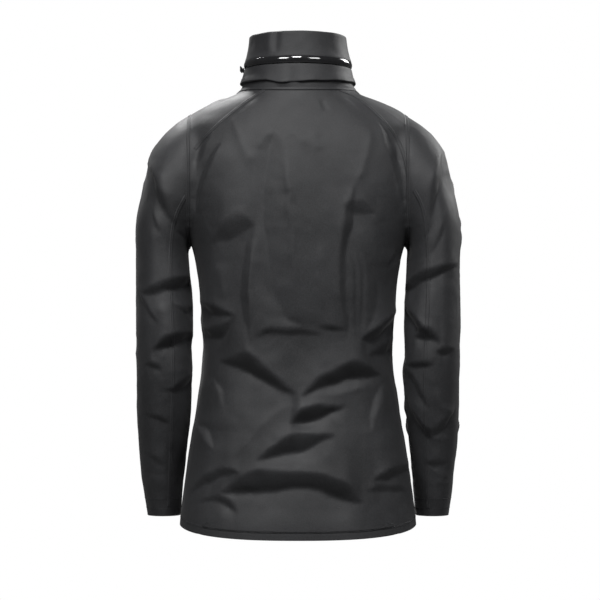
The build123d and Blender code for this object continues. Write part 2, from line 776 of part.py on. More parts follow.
def collar_zip_tape(z0, z1):
    with BuildPart() as tape:
        with BuildSketch(Plane.XZ):
            with Locations((COLLAR_ZIP_R - COLLAR_TAPE_THICK / 2, (z0 + z1) / 2)):
                Rectangle(COLLAR_TAPE_THICK, z1 - z0)
        revolve(axis=Axis.Z, revolution_arc=2 * COLLAR_ZIP_HALF)
    return tape.part.rotate(Axis.Z, 90 - COLLAR_ZIP_HALF)


def collar_slider_plane():
    """Local y runs along the zip towards the back, local z points outwards."""
    angle = math.radians(90 - COLLAR_SLIDER_ANGLE)
    out = Vector(math.cos(angle), math.sin(angle), 0)
    origin = out * COLLAR_ZIP_R + Vector(0, 0, COLLAR_ZIP_Z)
    return Plane(origin=origin, x_dir=(0, 0, -1), z_dir=out)


save(collar_zip_tape(COLLAR_ZIP_Z + SLIT, ZIP_BAND_Z1 - BAND_GAP), "collar_zip_tape_upper")
save(collar_zip_tape(ZIP_BAND_Z0 + BAND_GAP, COLLAR_ZIP_Z - SLIT), "collar_zip_tape_lower")
slider_plane = collar_slider_plane()
save(slider_body(slider_plane, direction=-1, width=8.0, length=11.0), "collar_zip_slider")
save(slider_pull(slider_plane, direction=-1), "collar_zip_pull")
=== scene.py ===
import math

import bmesh
import bpy
import numpy as np
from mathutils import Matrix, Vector
from mathutils.bvhtree import BVHTree


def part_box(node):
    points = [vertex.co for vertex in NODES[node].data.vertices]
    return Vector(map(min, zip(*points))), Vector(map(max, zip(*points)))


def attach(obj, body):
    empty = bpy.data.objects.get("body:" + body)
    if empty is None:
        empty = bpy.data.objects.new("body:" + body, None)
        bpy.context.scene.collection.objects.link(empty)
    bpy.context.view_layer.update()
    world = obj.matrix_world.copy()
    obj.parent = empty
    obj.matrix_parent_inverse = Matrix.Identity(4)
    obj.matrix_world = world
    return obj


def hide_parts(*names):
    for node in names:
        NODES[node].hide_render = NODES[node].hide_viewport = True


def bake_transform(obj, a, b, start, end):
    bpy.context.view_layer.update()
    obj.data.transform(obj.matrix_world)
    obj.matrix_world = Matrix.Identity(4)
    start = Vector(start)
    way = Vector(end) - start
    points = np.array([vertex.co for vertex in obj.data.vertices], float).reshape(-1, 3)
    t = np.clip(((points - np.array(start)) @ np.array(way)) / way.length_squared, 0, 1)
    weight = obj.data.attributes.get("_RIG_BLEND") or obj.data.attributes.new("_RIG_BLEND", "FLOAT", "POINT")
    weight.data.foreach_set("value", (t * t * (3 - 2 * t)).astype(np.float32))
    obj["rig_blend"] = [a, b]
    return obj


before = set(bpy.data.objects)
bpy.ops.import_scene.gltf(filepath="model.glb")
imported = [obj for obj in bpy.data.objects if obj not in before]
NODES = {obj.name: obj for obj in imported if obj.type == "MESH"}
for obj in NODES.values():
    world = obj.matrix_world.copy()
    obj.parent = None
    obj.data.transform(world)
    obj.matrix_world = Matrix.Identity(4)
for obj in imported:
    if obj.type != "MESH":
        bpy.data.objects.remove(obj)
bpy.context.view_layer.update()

# ---------------------------------------------------------------------------
# Numbers shared by everything. Shapes are worked out in millimetres in the CAD
# frame: +Z up, front towards -Y, +X the wearer's left.
# ---------------------------------------------------------------------------
HEM_Z, HEM_SLOPE = -697.0, -0.139
CUFF_Z = -693.0
ARM_X = 178.0
FRONT_R, FRONT_YC, FRONT_ZC = 2268.0, 2125.0, -430.0
VOXEL = 7.0
SLEEVE_CUT = -356.0  # where the skin of a sleeve is split between its two joints

# The view: a 600 by 600 picture plane seen from behind, 1.65 mm per unit at y = 0.
D_CAM, Z_CAM, X_CAM, PER = 3000.0, -337.0, -3.3, 1.65

BODY = [
    (-760.0, 200.0, 142.0, 2.5),
    (-720.0, 197.0, 139.0, 2.5),
    (-640.0, 188.0, 132.0, 2.5),
    (-570.0, 177.0, 127.0, 2.5),
    (-500.0, 165.0, 122.0, 2.5),
    (-420.0, 157.0, 121.0, 2.5),
    (-345.0, 161.0, 125.0, 2.45),
    (-250.0, 174.0, 129.0, 2.4),
    (-220.0, 184.0, 129.0, 2.35),
    (-160.0, 195.0, 126.0, 2.25),
    (-100.0, 200.0, 118.0, 2.1),
    (-60.0, 200.0, 108.0, 1.95),
    (-34.0, 180.0, 101.0, 1.75),
    (-9.0, 132.0, 95.0, 1.7),
    (0.0, 106.0, 92.0, 1.85),
    (8.0, 93.0, 90.0, 2.0),
    (16.0, 90.0, 88.0, 2.0),
]
SLEEVE = [
    (150.0, 0.0, -141.0, (0.0, 1.0), 98.0, 78.0),
    (178.0, 0.0, -141.0, (0.0, 1.0), 105.0, 82.0),
    (208.0, 0.0, -166.5, (0.339, 0.941), 85.5, 84.0),
    (217.0, 0.0, -199.0, (0.620, 0.784), 61.5, 82.0),
    (223.5, 0.0, -250.0, (1.0, 0.0), 43.5, 79.0),
    (222.0, 4.0, -300.0, (1.0, 0.0), 45.0, 76.0),
    (220.0, 8.0, -345.0, (1.0, 0.0), 47.0, 72.0),
    (219.0, 10.0, -420.0, (1.0, 0.0), 47.0, 68.0),
    (220.5, 0.0, -500.0, (1.0, 0.0), 45.5, 64.0),
    (223.5, -12.0, -570.0, (1.0, 0.0), 41.0, 60.0),
    (224.0, -26.0, -640.0, (1.0, 0.0), 34.0, 55.0),
    (222.0, -39.0, -705.0, (1.0, 0.0), 28.0, 50.5),
    (220.5, -46.0, -745.0, (1.0, 0.0), 26.0, 50.0),
]
ELBOW = (0.21975, 0.035, -0.420)


def front_y(z):
    return FRONT_YC - np.sqrt(FRONT_R**2 - (np.asarray(z, float) - FRONT_ZC) ** 2)


def pchip(x, y, xi):
    """Monotone cubic through the points, for smooth rows without overshoot."""
    x, y, xi = (np.asarray(v, float) for v in (x, y, xi))
    h = np.diff(x)
    d = np.diff(y) / h
    m = np.zeros(len(x))
    m[0], m[-1] = d[0], d[-1]
    for i in range(1, len(x) - 1):
        if d[i - 1] * d[i] > 0:
            w1, w2 = 2 * h[i] + h[i - 1], h[i] + 2 * h[i - 1]
            m[i] = (w1 + w2) / (w1 / d[i - 1] + w2 / d[i])
    k = np.clip(np.searchsorted(x, xi) - 1, 0, len(x) - 2)
    t = (xi - x[k]) / h[k]
    return (
        (1 + 2 * t) * (1 - t) ** 2 * y[k]
        + t * (1 - t) ** 2 * h[k] * m[k]
        + t * t * (3 - 2 * t) * y[k + 1]
        + t * t * (t - 1) * h[k] * m[k + 1]
    )


def smooth(t):
    t = np.clip(t, 0, 1)
    return t * t * (3 - 2 * t)


def view_uv(p):
    """Picture-plane coordinates of points in millimetres, for the camera behind."""
    k = D_CAM / (D_CAM - p[:, 1])
    return np.stack(
        [300 - (p[:, 0] - X_CAM) * k / PER, 300 - (p[:, 2] - Z_CAM) * k / PER], 1
    )


# ---------------------------------------------------------------------------
# Mesh helpers
# ---------------------------------------------------------------------------
def link(obj):
    bpy.context.scene.collection.objects.link(obj)
    return obj


def make_object(name, verts_mm, faces, material=None, smooth_shade=True):
    mesh = bpy.data.meshes.new(name)
    mesh.from_pydata((np.asarray(verts_mm) * 0.001).tolist(), [], faces)
    mesh.validate()
    if smooth_shade:
        mesh.polygons.foreach_set("use_smooth", [True] * len(mesh.polygons))
    obj = link(bpy.data.objects.new(name, mesh))
    if material:
        mesh.materials.append(material)
    return obj


def grid_faces(rows, cols, wrap):
    faces = []
    for i in range(rows - 1):
        for j in range(cols if wrap else cols - 1):
            k = (j + 1) % cols
            faces.append(
                (i * cols + j, i * cols + k, (i + 1) * cols + k, (i + 1) * cols + j)
            )
    return faces


def coords(mesh):
    co = np.zeros(len(mesh.vertices) * 3)
    mesh.vertices.foreach_get("co", co)
    return co.reshape(-1, 3) * 1000.0


def set_coords(mesh, co):
    mesh.vertices.foreach_set("co", (co * 0.001).ravel())
    mesh.update()


def edge_pairs(mesh):
    e = np.zeros(len(mesh.edges) * 2, np.int32)
    mesh.edges.foreach_get("vertices", e)
    return e.reshape(-1, 2)


def laplacian(co, edges, steps, factor=0.5, back=-0.52, lock=None):
    """Taubin smoothing: rounds without shrinking."""
    n = len(co)
    degree = np.bincount(edges.ravel(), minlength=n).astype(float)[:, None]
    degree[degree == 0] = 1
    for step in range(steps):
        for f in (factor, back) if back else (factor,):
            total = np.zeros_like(co)
            for c in range(3):
                total[:, c] = np.bincount(
                    edges[:, 0], weights=co[edges[:, 1], c], minlength=n
                ) + np.bincount(edges[:, 1], weights=co[edges[:, 0], c], minlength=n)
            move = f * (total / degree - co)
            if lock is not None:
                move *= (1 - lock)[:, None]
            co = co + move
    return co


def vertex_normals(mesh):
    n = np.zeros(len(mesh.vertices) * 3)
    mesh.vertex_normals.foreach_get("vector", n)
    return n.reshape(-1, 3)


def evaluated(obj):
    deps = bpy.context.evaluated_depsgraph_get()
    return bpy.data.meshes.new_from_object(obj.evaluated_get(deps), depsgraph=deps)


def smooth_noise(p, scale, seed, octaves=2):
    """Smooth value noise of points, about -1 to 1, from a seeded lattice."""
    out = np.zeros(len(p))
    amp = 1.0
    for o in range(octaves):
        lattice = np.random.default_rng(seed + o).uniform(-1, 1, (32, 32, 32))
        q = p / (scale / 2**o) + 1000.3
        i = np.floor(q).astype(int)
        f = smooth(q - i)
        total = 0
        for dx in (0, 1):
            for dy in (0, 1):
                for dz in (0, 1):
                    w = (
                        (f[:, 0] if dx else 1 - f[:, 0])
                        * (f[:, 1] if dy else 1 - f[:, 1])
                        * (f[:, 2] if dz else 1 - f[:, 2])
                    )
                    total = (
                        total
                        + w
                        * lattice[
                            (i[:, 0] + dx) % 32, (i[:, 1] + dy) % 32, (i[:, 2] + dz) % 32
                        ]
                    )
        out += amp * total
        amp *= 0.5
    return out


def long_frame(node):
    """Centre, across, along and outward directions and half length of a long flat node."""
    p = coords(NODES[node].data)
    c = (p.min(0) + p.max(0)) / 2
    _, axes = np.linalg.eigh(np.cov((p - p.mean(0)).T))
    up, out = axes[:, 2], axes[:, 0]
    up = up * np.sign(up[2])
    out = out * -np.sign(out[1])
    return c, np.cross(up, out), up, out, float(np.abs((p - c) @ up).max())


POCKET = {s: long_frame(f"pocket_zip_tape_{s}") for s in ("left", "right")}
SLOT_HALF = 6.2


# ---------------------------------------------------------------------------
# The garment's smooth worn shape: body and sleeves as closed forms, joined by a
# voxel remesh with the sleeves swung out, then swung back.
# ---------------------------------------------------------------------------
def body_form(inset=0.0, top=16.0, bottom=-760.0, back_in=0.0):
    rows = np.array([[r[0], r[1], r[2], r[3]] for r in BODY])
    z = np.concatenate(
        [np.arange(bottom, -60, 12.0), np.linspace(-60, top, 24)]
    )
    a = pchip(rows[:, 0], rows[:, 1], z) - inset
    b = pchip(rows[:, 0], rows[:, 2], z) - inset - back_in
    n = pchip(rows[:, 0], rows[:, 3], z)
    f = front_y(z) + inset
    count = 128
    verts = []
    for i in range(len(z)):
        t = 2 * np.pi * np.arange(count) / count
        c, s = np.cos(t), np.sin(t)
        mid, half = (b[i] + f[i]) / 2, (b[i] - f[i]) / 2
        verts.append(
            np.stack(
                [
                    a[i] * np.sign(c) * np.abs(c) ** (2 / n[i]),
                    mid + half * np.sign(s) * np.abs(s) ** (2 / n[i]),
                    np.full(count, z[i]),
                ],
                1,
            )
        )
    v = np.concatenate(verts)
    faces = grid_faces(len(z), count, True)
    faces.append(tuple(reversed(range(count))))
    faces.append(tuple(range((len(z) - 1) * count, len(z) * count)))
    return v, faces


def sleeve_form(side, inset=0.0, first=0, last=None):
    rows = np.array([[*r[:3], *r[3], *r[4:]] for r in SLEEVE[first:last]])
    key = np.concatenate(
        [[0], np.cumsum(np.linalg.norm(np.diff(rows[:, :3], axis=0), axis=1))]
    )
    t = np.linspace(0, key[-1], 64)
    r = np.stack([pchip(key, rows[:, c], t) for c in range(7)], 1)
    length = np.hypot(r[:, 3], r[:, 4])
    r[:, 3] /= length
    r[:, 4] /= length
    count = 72
    verts = []
    for x, y, z, ux, uz, hu, hv in r:
        ang = 2 * np.pi * np.arange(count) / count
        hu, hv = hu - inset, hv - inset
        verts.append(
            np.stack(
                [
                    x + ux * hu * np.cos(ang),
                    y + hv * np.sin(ang),
                    z + uz * hu * np.cos(ang),
                ],
                1,
            )
        )
    v = np.concatenate(verts)
    v[:, 0] *= side
    faces = grid_faces(len(t), count, True)
    faces.append(tuple(reversed(range(count))))
    faces.append(tuple(range((len(t) - 1) * count, len(t) * count)))
    if side > 0:
        faces = [tuple(reversed(f)) for f in faces]
    return v, faces


SPREAD = math.radians(24)


def swing(v, side, w):
    """Turns points about the shoulder by w of the spread angle, outwards."""
    a = -side * SPREAD * w
    x, z = v[:, 0] - side * 200.0, v[:, 2] + 150.0
    out = v.copy()
    out[:, 0] = side * 200.0 + x * np.cos(a) + z * np.sin(a)
    out[:, 2] = -150.0 - x * np.sin(a) + z * np.cos(a)
    return out


def swing_weight(z):
    return smooth((-z - 205.0) / 150.0)


def swing_back(v, side):
    lo, hi = np.zeros(len(v)), np.ones(len(v))
    for _ in range(30):
        w = (lo + hi) / 2
        p = swing(v, side, -w)
        higher = swing_weight(p[:, 2]) > w
        lo = np.where(higher, w, lo)
        hi = np.where(higher, hi, w)
    return swing(v, side, -(lo + hi) / 2)


def remeshed(parts, voxel):
    """One closed skin round several overlapping closed forms."""
    verts, faces = [], []
    base = 0
    for v, f in parts:
        verts.append(v)
        faces += [tuple(i + base for i in face) for face in f]
        base += len(v)
    obj = make_object("tmp_form", np.concatenate(verts), faces)
    mod = obj.modifiers.new("remesh", "REMESH")
    mod.mode = "VOXEL"
    mod.voxel_size = voxel * 0.001
    mesh = evaluated(obj)
    bpy.data.objects.remove(obj)
    return mesh


def base_skin():
    parts = [body_form()]
    for side in (1, -1):
        v, f = sleeve_form(side)
        parts.append((swing(v, side, swing_weight(v[:, 2])), f))
    mesh = remeshed(parts, VOXEL)
    co = coords(mesh)
    of_arm = np.zeros(len(co), np.float32)
    for side in (1, -1):
        x = co[:, 0] * side
        edge = np.where(co[:, 2] > -262, 178.0, 178.0 + (-262 - co[:, 2]) * 0.14)
        m = (x > edge) & (co[:, 2] < -180)
        co[m] = swing_back(co[m], side)
        of_arm[m] = 1.0
    mesh.attributes.new("of_arm", "FLOAT", "POINT").data.foreach_set("value", of_arm)
    co = laplacian(co, edge_pairs(mesh), 14)
    set_coords(mesh, co)
    # trim: hem, cuffs, neck; and put edge loops where the pieces will be split
    bm = bmesh.new()
    bm.from_mesh(mesh)
    layer = bm.verts.layers.float["of_arm"]

    def group(test, arm=None):
        faces = [
            f
            for f in bm.faces
            if test(f.calc_center_median() * 1000) and (arm is None or is_arm(f) == arm)
        ]
        edges = {e for f in faces for e in f.edges}
        verts = {v for f in faces for v in f.verts}
        return faces + list(edges) + list(verts)

    def is_arm(f):
        c = f.calc_center_median() * 1000
        if c.z > -262:
            return abs(c.x) > ARM_X
        return sum(v[layer] for v in f.verts) / len(f.verts) > 0.5

    n = Vector((0, -HEM_SLOPE, 1)).normalized()
    bmesh.ops.bisect_plane(
        bm,
        geom=group(lambda c: c.z < -600, False),
        plane_co=(0, 0, HEM_Z * 0.001),
        plane_no=n,
        clear_inner=True,
        dist=1e-5,
    )
    for side in (1, -1):
        bmesh.ops.bisect_plane(
            bm,
            geom=group(lambda c: c.x * side > 0 and c.z < -600, True),
            plane_co=(0, 0, CUFF_Z * 0.001),
            plane_no=Vector((0, -0.06, 1)).normalized(),
            clear_inner=True,
            dist=1e-5,
        )
        bmesh.ops.bisect_plane(
            bm,
            geom=group(lambda c: c.x * side > 150 and c.z > -275),
            plane_co=(side * ARM_X * 0.001, 0, 0),
            plane_no=(side, 0, 0),
            dist=1e-5,
        )
        bmesh.ops.bisect_plane(
            bm,
            geom=group(lambda c: c.x * side > 150 and -380 < c.z < -332, True),
            plane_co=(0, 0, SLEEVE_CUT * 0.001),
            plane_no=(0, 0, 1),
            dist=1e-5,
        )
        bmesh.ops.bisect_plane(
            bm,
            geom=group(lambda c: abs(c.x) < 30 and c.y < 0),
            plane_co=(side * 0.0095, 0, 0),
            plane_no=(side, 0, 0),
            dist=1e-5,
        )
    bmesh.ops.bisect_plane(
        bm,
        geom=bm.faces[:] + bm.edges[:] + bm.verts[:],
        plane_co=(0, 0, 0.009),
        plane_no=(0, 0, -1),
        clear_inner=True,
        dist=1e-5,
    )
    # the front opening, where the zip shows
    gone = [
        f
        for f in bm.faces
        if abs(f.calc_center_median().x) < 0.0095 and f.calc_center_median().y < 0
    ]
    bmesh.ops.delete(bm, geom=gone, context="FACES")
    # a slot over each hand pocket zip
    for side in ("left", "right"):
        c, x, up, out, half = POCKET[side]

        def near(q):
            r = np.array(q) - c
            return abs(r @ x) < 22 and abs(r @ up) < half + 14 and abs(r @ out) < 30

        for no, d in ((x, SLOT_HALF), (x, -SLOT_HALF), (up, half - 1.5), (up, 1.5 - half)):
            bmesh.ops.bisect_plane(
                bm,
                geom=group(near),
                plane_co=Vector((c + no * d) * 0.001),
                plane_no=Vector(no),
                dist=1e-5,
            )
        gone = []
        for f in bm.faces:
            r = np.array(f.calc_center_median() * 1000) - c
            if (
                abs(r @ x) < SLOT_HALF
                and abs(r @ up) < half - 1.5
                and abs(r @ out) < 30
            ):
                gone.append(f)
        bmesh.ops.delete(bm, geom=gone, context="FACES")
    bmesh.ops.remove_doubles(bm, verts=bm.verts[:], dist=0.0004)
    for f in bm.faces:
        c = f.calc_center_median() * 1000
        if not is_arm(f):
            f.material_index = 0
        else:
            f.material_index = (1 if c.x > 0 else 2) + (0 if c.z > SLEEVE_CUT else 2)
    loose = [v for v in bm.verts if not v.link_faces]
    bmesh.ops.delete(bm, geom=loose, context="VERTS")
    bm.normal_update()
    mesh.materials.clear()
    for _ in range(5):
        mesh.materials.append(None)
    bm.to_mesh(mesh)
    bm.free()
    mesh.update()
    return mesh


# ---------------------------------------------------------------------------
# Folds. Each is a line on the picture plane: the cloth rises gently from above to
# the line and falls away below it (or the other way round), fading at the ends.
# (points, height mm, width below, width above, roundness)
# ---------------------------------------------------------------------------
def polyline_field(uv, pts):
    """Signed distance (positive on the right-hand side going along, which is below
    for a line drawn left to right), and position along the line 0 to 1."""
    pts = np.array(pts, float)
    seg = np.diff(pts, axis=0)
    length = np.linalg.norm(seg, axis=1)
    start = np.concatenate([[0], np.cumsum(length)])
    best = np.full(len(uv), 1e9)
    sign = np.zeros(len(uv))
    along = np.zeros(len(uv))
    for i in range(len(seg)):
        d = seg[i] / max(length[i], 1e-9)
        rel = uv - pts[i]
        t = np.clip(rel @ d, 0, length[i])
        near = rel - t[:, None] * d
        dist = np.linalg.norm(near, axis=1)
        cross = d[0] * rel[:, 1] - d[1] * rel[:, 0]
        take = dist < best - 1e-9
        best = np.where(take, dist, best)
        sign = np.where(take, np.sign(cross), sign)
        along = np.where(take, start[i] + t, along)
    return best * sign, along / start[-1], start[-1]


def fold_height(uv, pts, height, below, above, r=1.2, ends=0.25):
    pts = np.array(pts, float)
    reach = 30 + 3.6 * max(below, above)
    lo, hi = pts.min(0) - reach, pts.max(0) + reach
    m = np.all((uv > lo) & (uv < hi), axis=1)
    out = np.zeros(len(uv))
    if not m.any():
        return out
    # round the line's corners
    for _ in range(2):
        q = [pts[0]]
        for a, b in zip(pts, pts[1:]):
            q += [a * 0.75 + b * 0.25, a * 0.25 + b * 0.75]
        q.append(pts[-1])
        pts = np.array(q)
    s, t, length = polyline_field(uv[m], pts)
    r = 0.55 * r
    soft = np.sqrt(s * s + r * r) - r
    h = np.where(s > 0, np.exp(-((soft / below) ** 1.12)), np.exp(-((soft / above) ** 1.12)))
    h = np.maximum(h - 0.02, 0) / 0.98
    fade = smooth(t / ends) * smooth((1 - t) / ends)
    # past the ends the distance grows along the line, so the fold closes there too
    out[m] = height * h * fade
    return out


def lens_height(uv, top, low, slope, above, below, upright=False):
    """A facet between two lines that meet at their ends: high along the first line and low
    along the second, at one slope all over, with slow ramps on both outer sides."""
    top, low = np.array(top, float), np.array(low, float)
    p = uv
    if upright:
        top, low, p = top[:, ::-1], low[:, ::-1], uv[:, ::-1]
    out = np.zeros(len(uv))
    m = (p[:, 0] > top[0, 0]) & (p[:, 0] < top[-1, 0])
    if not m.any():
        return out
    x = p[m, 0]
    t = pchip(top[:, 0], top[:, 1], x)
    d = pchip(low[:, 0], low[:, 1], x) - t
    sign = 1.0 if d.mean() > 0 else -1.0
    d = np.maximum(d * sign, 1e-3)
    v = (p[m, 1] - t) * sign
    drop = 0.78 * slope * d * PER
    lift, dip = 1.7 * above, 1.6 * below
    h = np.where(
        v < 0,
        0.45 * np.exp(np.minimum(v, 0) / lift),
        np.where(v < d, 0.45 - (np.clip(v, 0, d) / d) ** 1.3, -0.55 * np.exp(-np.maximum(v - d, 0) / dip)),
    )
    out[m] = drop * h
    return out


LENSES_BACK = [
    # (high line, low line, slope, ramp on the high side, ramp on the low side, upright)
    # the diamond in the small of the back and the two dark facets of the V under it
    ([(218, 361), (232, 356), (247, 351), (262, 363), (280, 378), (297, 393)],
     [(218, 361), (240, 369), (258, 377), (276, 387), (297, 393)], 0.80, 26, 20, False),
    ([(302, 396), (312, 384), (320, 376), (338, 366), (352, 360), (368, 366), (383, 375.5)],
     [(302, 396), (313, 391.5), (331.6, 384), (350, 378), (369, 377), (383, 375.5)], 0.95, 24, 14, False),
    # facets below the V
    ([(290, 423), (296, 412), (302, 406), (316, 404.5), (330, 405), (345, 406)],
     [(290, 423), (302, 422.5), (316, 419.5), (331, 412), (345, 406)], 1.10, 10, 10, False),
    ([(257, 461), (270, 449), (284, 439), (300, 432.5), (318, 433.5), (334, 436)],
     [(257, 461), (281, 457), (306, 451), (320, 443), (334, 436)], 0.80, 14, 12, False),
    # the long dark facet over the hem
    ([(220, 492), (237, 478), (262, 470.5), (300, 472), (322, 475), (344, 481), (362, 502)],
     [(220, 492), (237, 492), (274, 491), (300, 488), (319, 491), (338, 498), (362, 502)], 0.80, 18, 18, False),
    # corners of the hem
    ([(190, 492), (200, 480), (211, 472), (227, 467), (242, 474)],
     [(190, 492), (208, 483), (227, 475), (242, 474)], 0.75, 14, 10, False),
    ([(198, 503), (210, 497), (221, 494), (231, 501), (238, 512)],
     [(198, 503), (214, 501), (226, 506), (238, 512)], 0.60, 8, 8, False),
    ([(373, 480), (385, 471), (401, 465), (415, 464)],
     [(373, 480), (386, 480), (400, 473), (415, 464)], 0.75, 12, 10, False),
    ([(366, 493), (384, 484), (396, 484), (408, 490)],
     [(366, 493), (384, 491), (398, 491), (408, 490)], 0.60, 8, 8, False),
    # narrow slanting facets beside the V
    ([(386, 380), (383, 398), (377, 415), (370, 432)],
     [(386, 380), (377, 396), (371, 413), (370, 432)], 0.45, 12, 12, True),
    ([(212, 376), (217, 392), (224, 411)], [(212, 376), (222, 391), (224, 411)], 0.5, 10, 10, True),
    ([(197, 422), (203, 436), (214, 452)], [(197, 422), (210, 433), (214, 452)], 0.6, 8, 12, True),
    # waist: folds that run in from both sides
    ([(196, 302), (214, 304), (236, 316)], [(196, 302), (212, 315), (236, 316)], 0.75, 12, 8, False),
    ([(196, 331), (212, 326), (234, 319)], [(196, 331), (216, 338), (234, 319)], 0.65, 8, 12, False),
    ([(360, 339), (372, 327), (386, 316), (404, 305)], [(360, 339), (374, 341), (390, 328), (404, 305)], 0.85, 12, 10, False),
    ([(366, 356), (382, 344), (404, 331)], [(366, 356), (386, 355), (404, 331)], 0.60, 10, 12, False),
    # creases over the diamond
    ([(256, 337), (270, 327), (300, 329), (322, 334)], [(256, 337), (272, 334), (300, 335), (322, 334)], 0.6, 14, 30, False),
    ([(318, 327), (332, 324), (346, 331)], [(318, 327), (332, 330), (346, 331)], 0.7, 10, 20, False),
    # drapes down the back
    ([(276, 130), (284, 144), (289, 169), (290.5, 216), (293.7, 264), (298.4, 311), (303, 326)],
     [(276, 130), (268, 150), (265, 169), (262.7, 200), (265, 232), (270, 280), (284, 315), (303, 326)], 0.27, 16, 12, True),
    ([(258, 220), (252.5, 240), (251, 290), (252, 347)], [(258, 220), (244, 245), (240, 290), (252, 347)], 0.42, 9, 14, True),
    ([(354, 182), (347, 202), (341, 226), (338.5, 262), (338, 292), (341, 320), (345, 342)],
     [(354, 182), (355, 206), (351, 232), (346, 262), (346, 292), (348, 320), (345, 342)], 0.50, 12, 10, True),
    ([(350, 242), (351.5, 290), (353, 341)], [(350, 242), (356, 290), (353, 341)], 0.42, 5, 6, True),
    ([(358, 248), (359, 285), (360, 326)], [(358, 248), (363, 285), (360, 326)], 0.40, 5, 6, True),
    ([(364, 250), (366, 290), (364, 336)], [(364, 250), (379, 290), (364, 336)], 0.34, 8, 16, True),
    ([(262, 238), (266, 270), (274, 306)], [(262, 238), (262, 270), (274, 306)], 0.40, 6, 6, True),
    # shoulder blades
    ([(211, 246), (227, 219.5), (243, 214.7), (257, 226)], [(211, 246), (230, 240), (248, 229), (257, 226)], 0.32, 24, 22, False),
    ([(344, 206), (352, 199), (361, 199), (376, 212)], [(344, 206), (352, 212), (362, 213), (376, 212)], 0.34, 12, 16, False),
    # folds that run down from the shoulders beside the armholes
    ([(377, 121), (384, 140), (390, 160), (396, 185), (401, 205), (404, 222)],
     [(377, 121), (391, 138), (400, 160), (405, 185), (406.5, 205), (404, 222)], 0.70, 14, 7, True),
    ([(212, 133), (205, 150), (200, 165), (196, 180)], [(212, 133), (199, 147), (194, 162), (196, 180)], 0.70, 9, 6, True),
    ([(222, 141), (214, 160), (207, 180), (201, 200), (196, 213)],
     [(222, 141), (208, 157), (200, 176), (195, 195), (196, 213)], 0.70, 12, 7, True),
    ([(396, 247), (391, 256), (387, 266)], [(396, 247), (394, 258), (387, 266)], 0.6, 6, 6, True),
]
RIDGES_BACK = [
    # (points, height, half width): fine crests, mostly upright
    ([(284, 144), (290, 200), (294, 250), (298, 306)], 2.3, 3.6),
    ([(347, 200), (340, 235), (338, 285), (343, 330)], 2.0, 3.4),
    ([(252, 236), (251, 280), (251, 330)], 2.0, 3.2),
    ([(232, 112), (238, 130), (246, 152), (252, 176)], 1.6, 5),
    ([(276, 128), (262, 138), (256, 150)], 1.4, 5),
    ([(276, 128), (290, 131), (303, 140), (314, 150)], 1.4, 5),
    ([(371, 120), (370, 146), (362, 172), (350, 192)], 1.6, 5),
    ([(320, 98), (323, 104), (327, 113)], -1.2, 2.0),
    ([(313, 128), (315, 142), (322, 152)], 1.2, 5),
    ([(322, 236), (320, 280), (325, 318)], 1.6, 6),
    ([(214, 262), (222, 284), (226, 300)], 1.6, 6),
    ([(300, 398), (330, 394), (356, 392), (378, 380)], 1.4, 4),
    ([(297, 396), (268, 418), (246, 444), (226, 464)], 1.5, 7),
    # the collar seam's pull lines
    ([(262, 92), (246, 104), (236, 114)], -1.2, 3),
    ([(342, 92), (356, 102), (368, 114)], -1.2, 3),
]
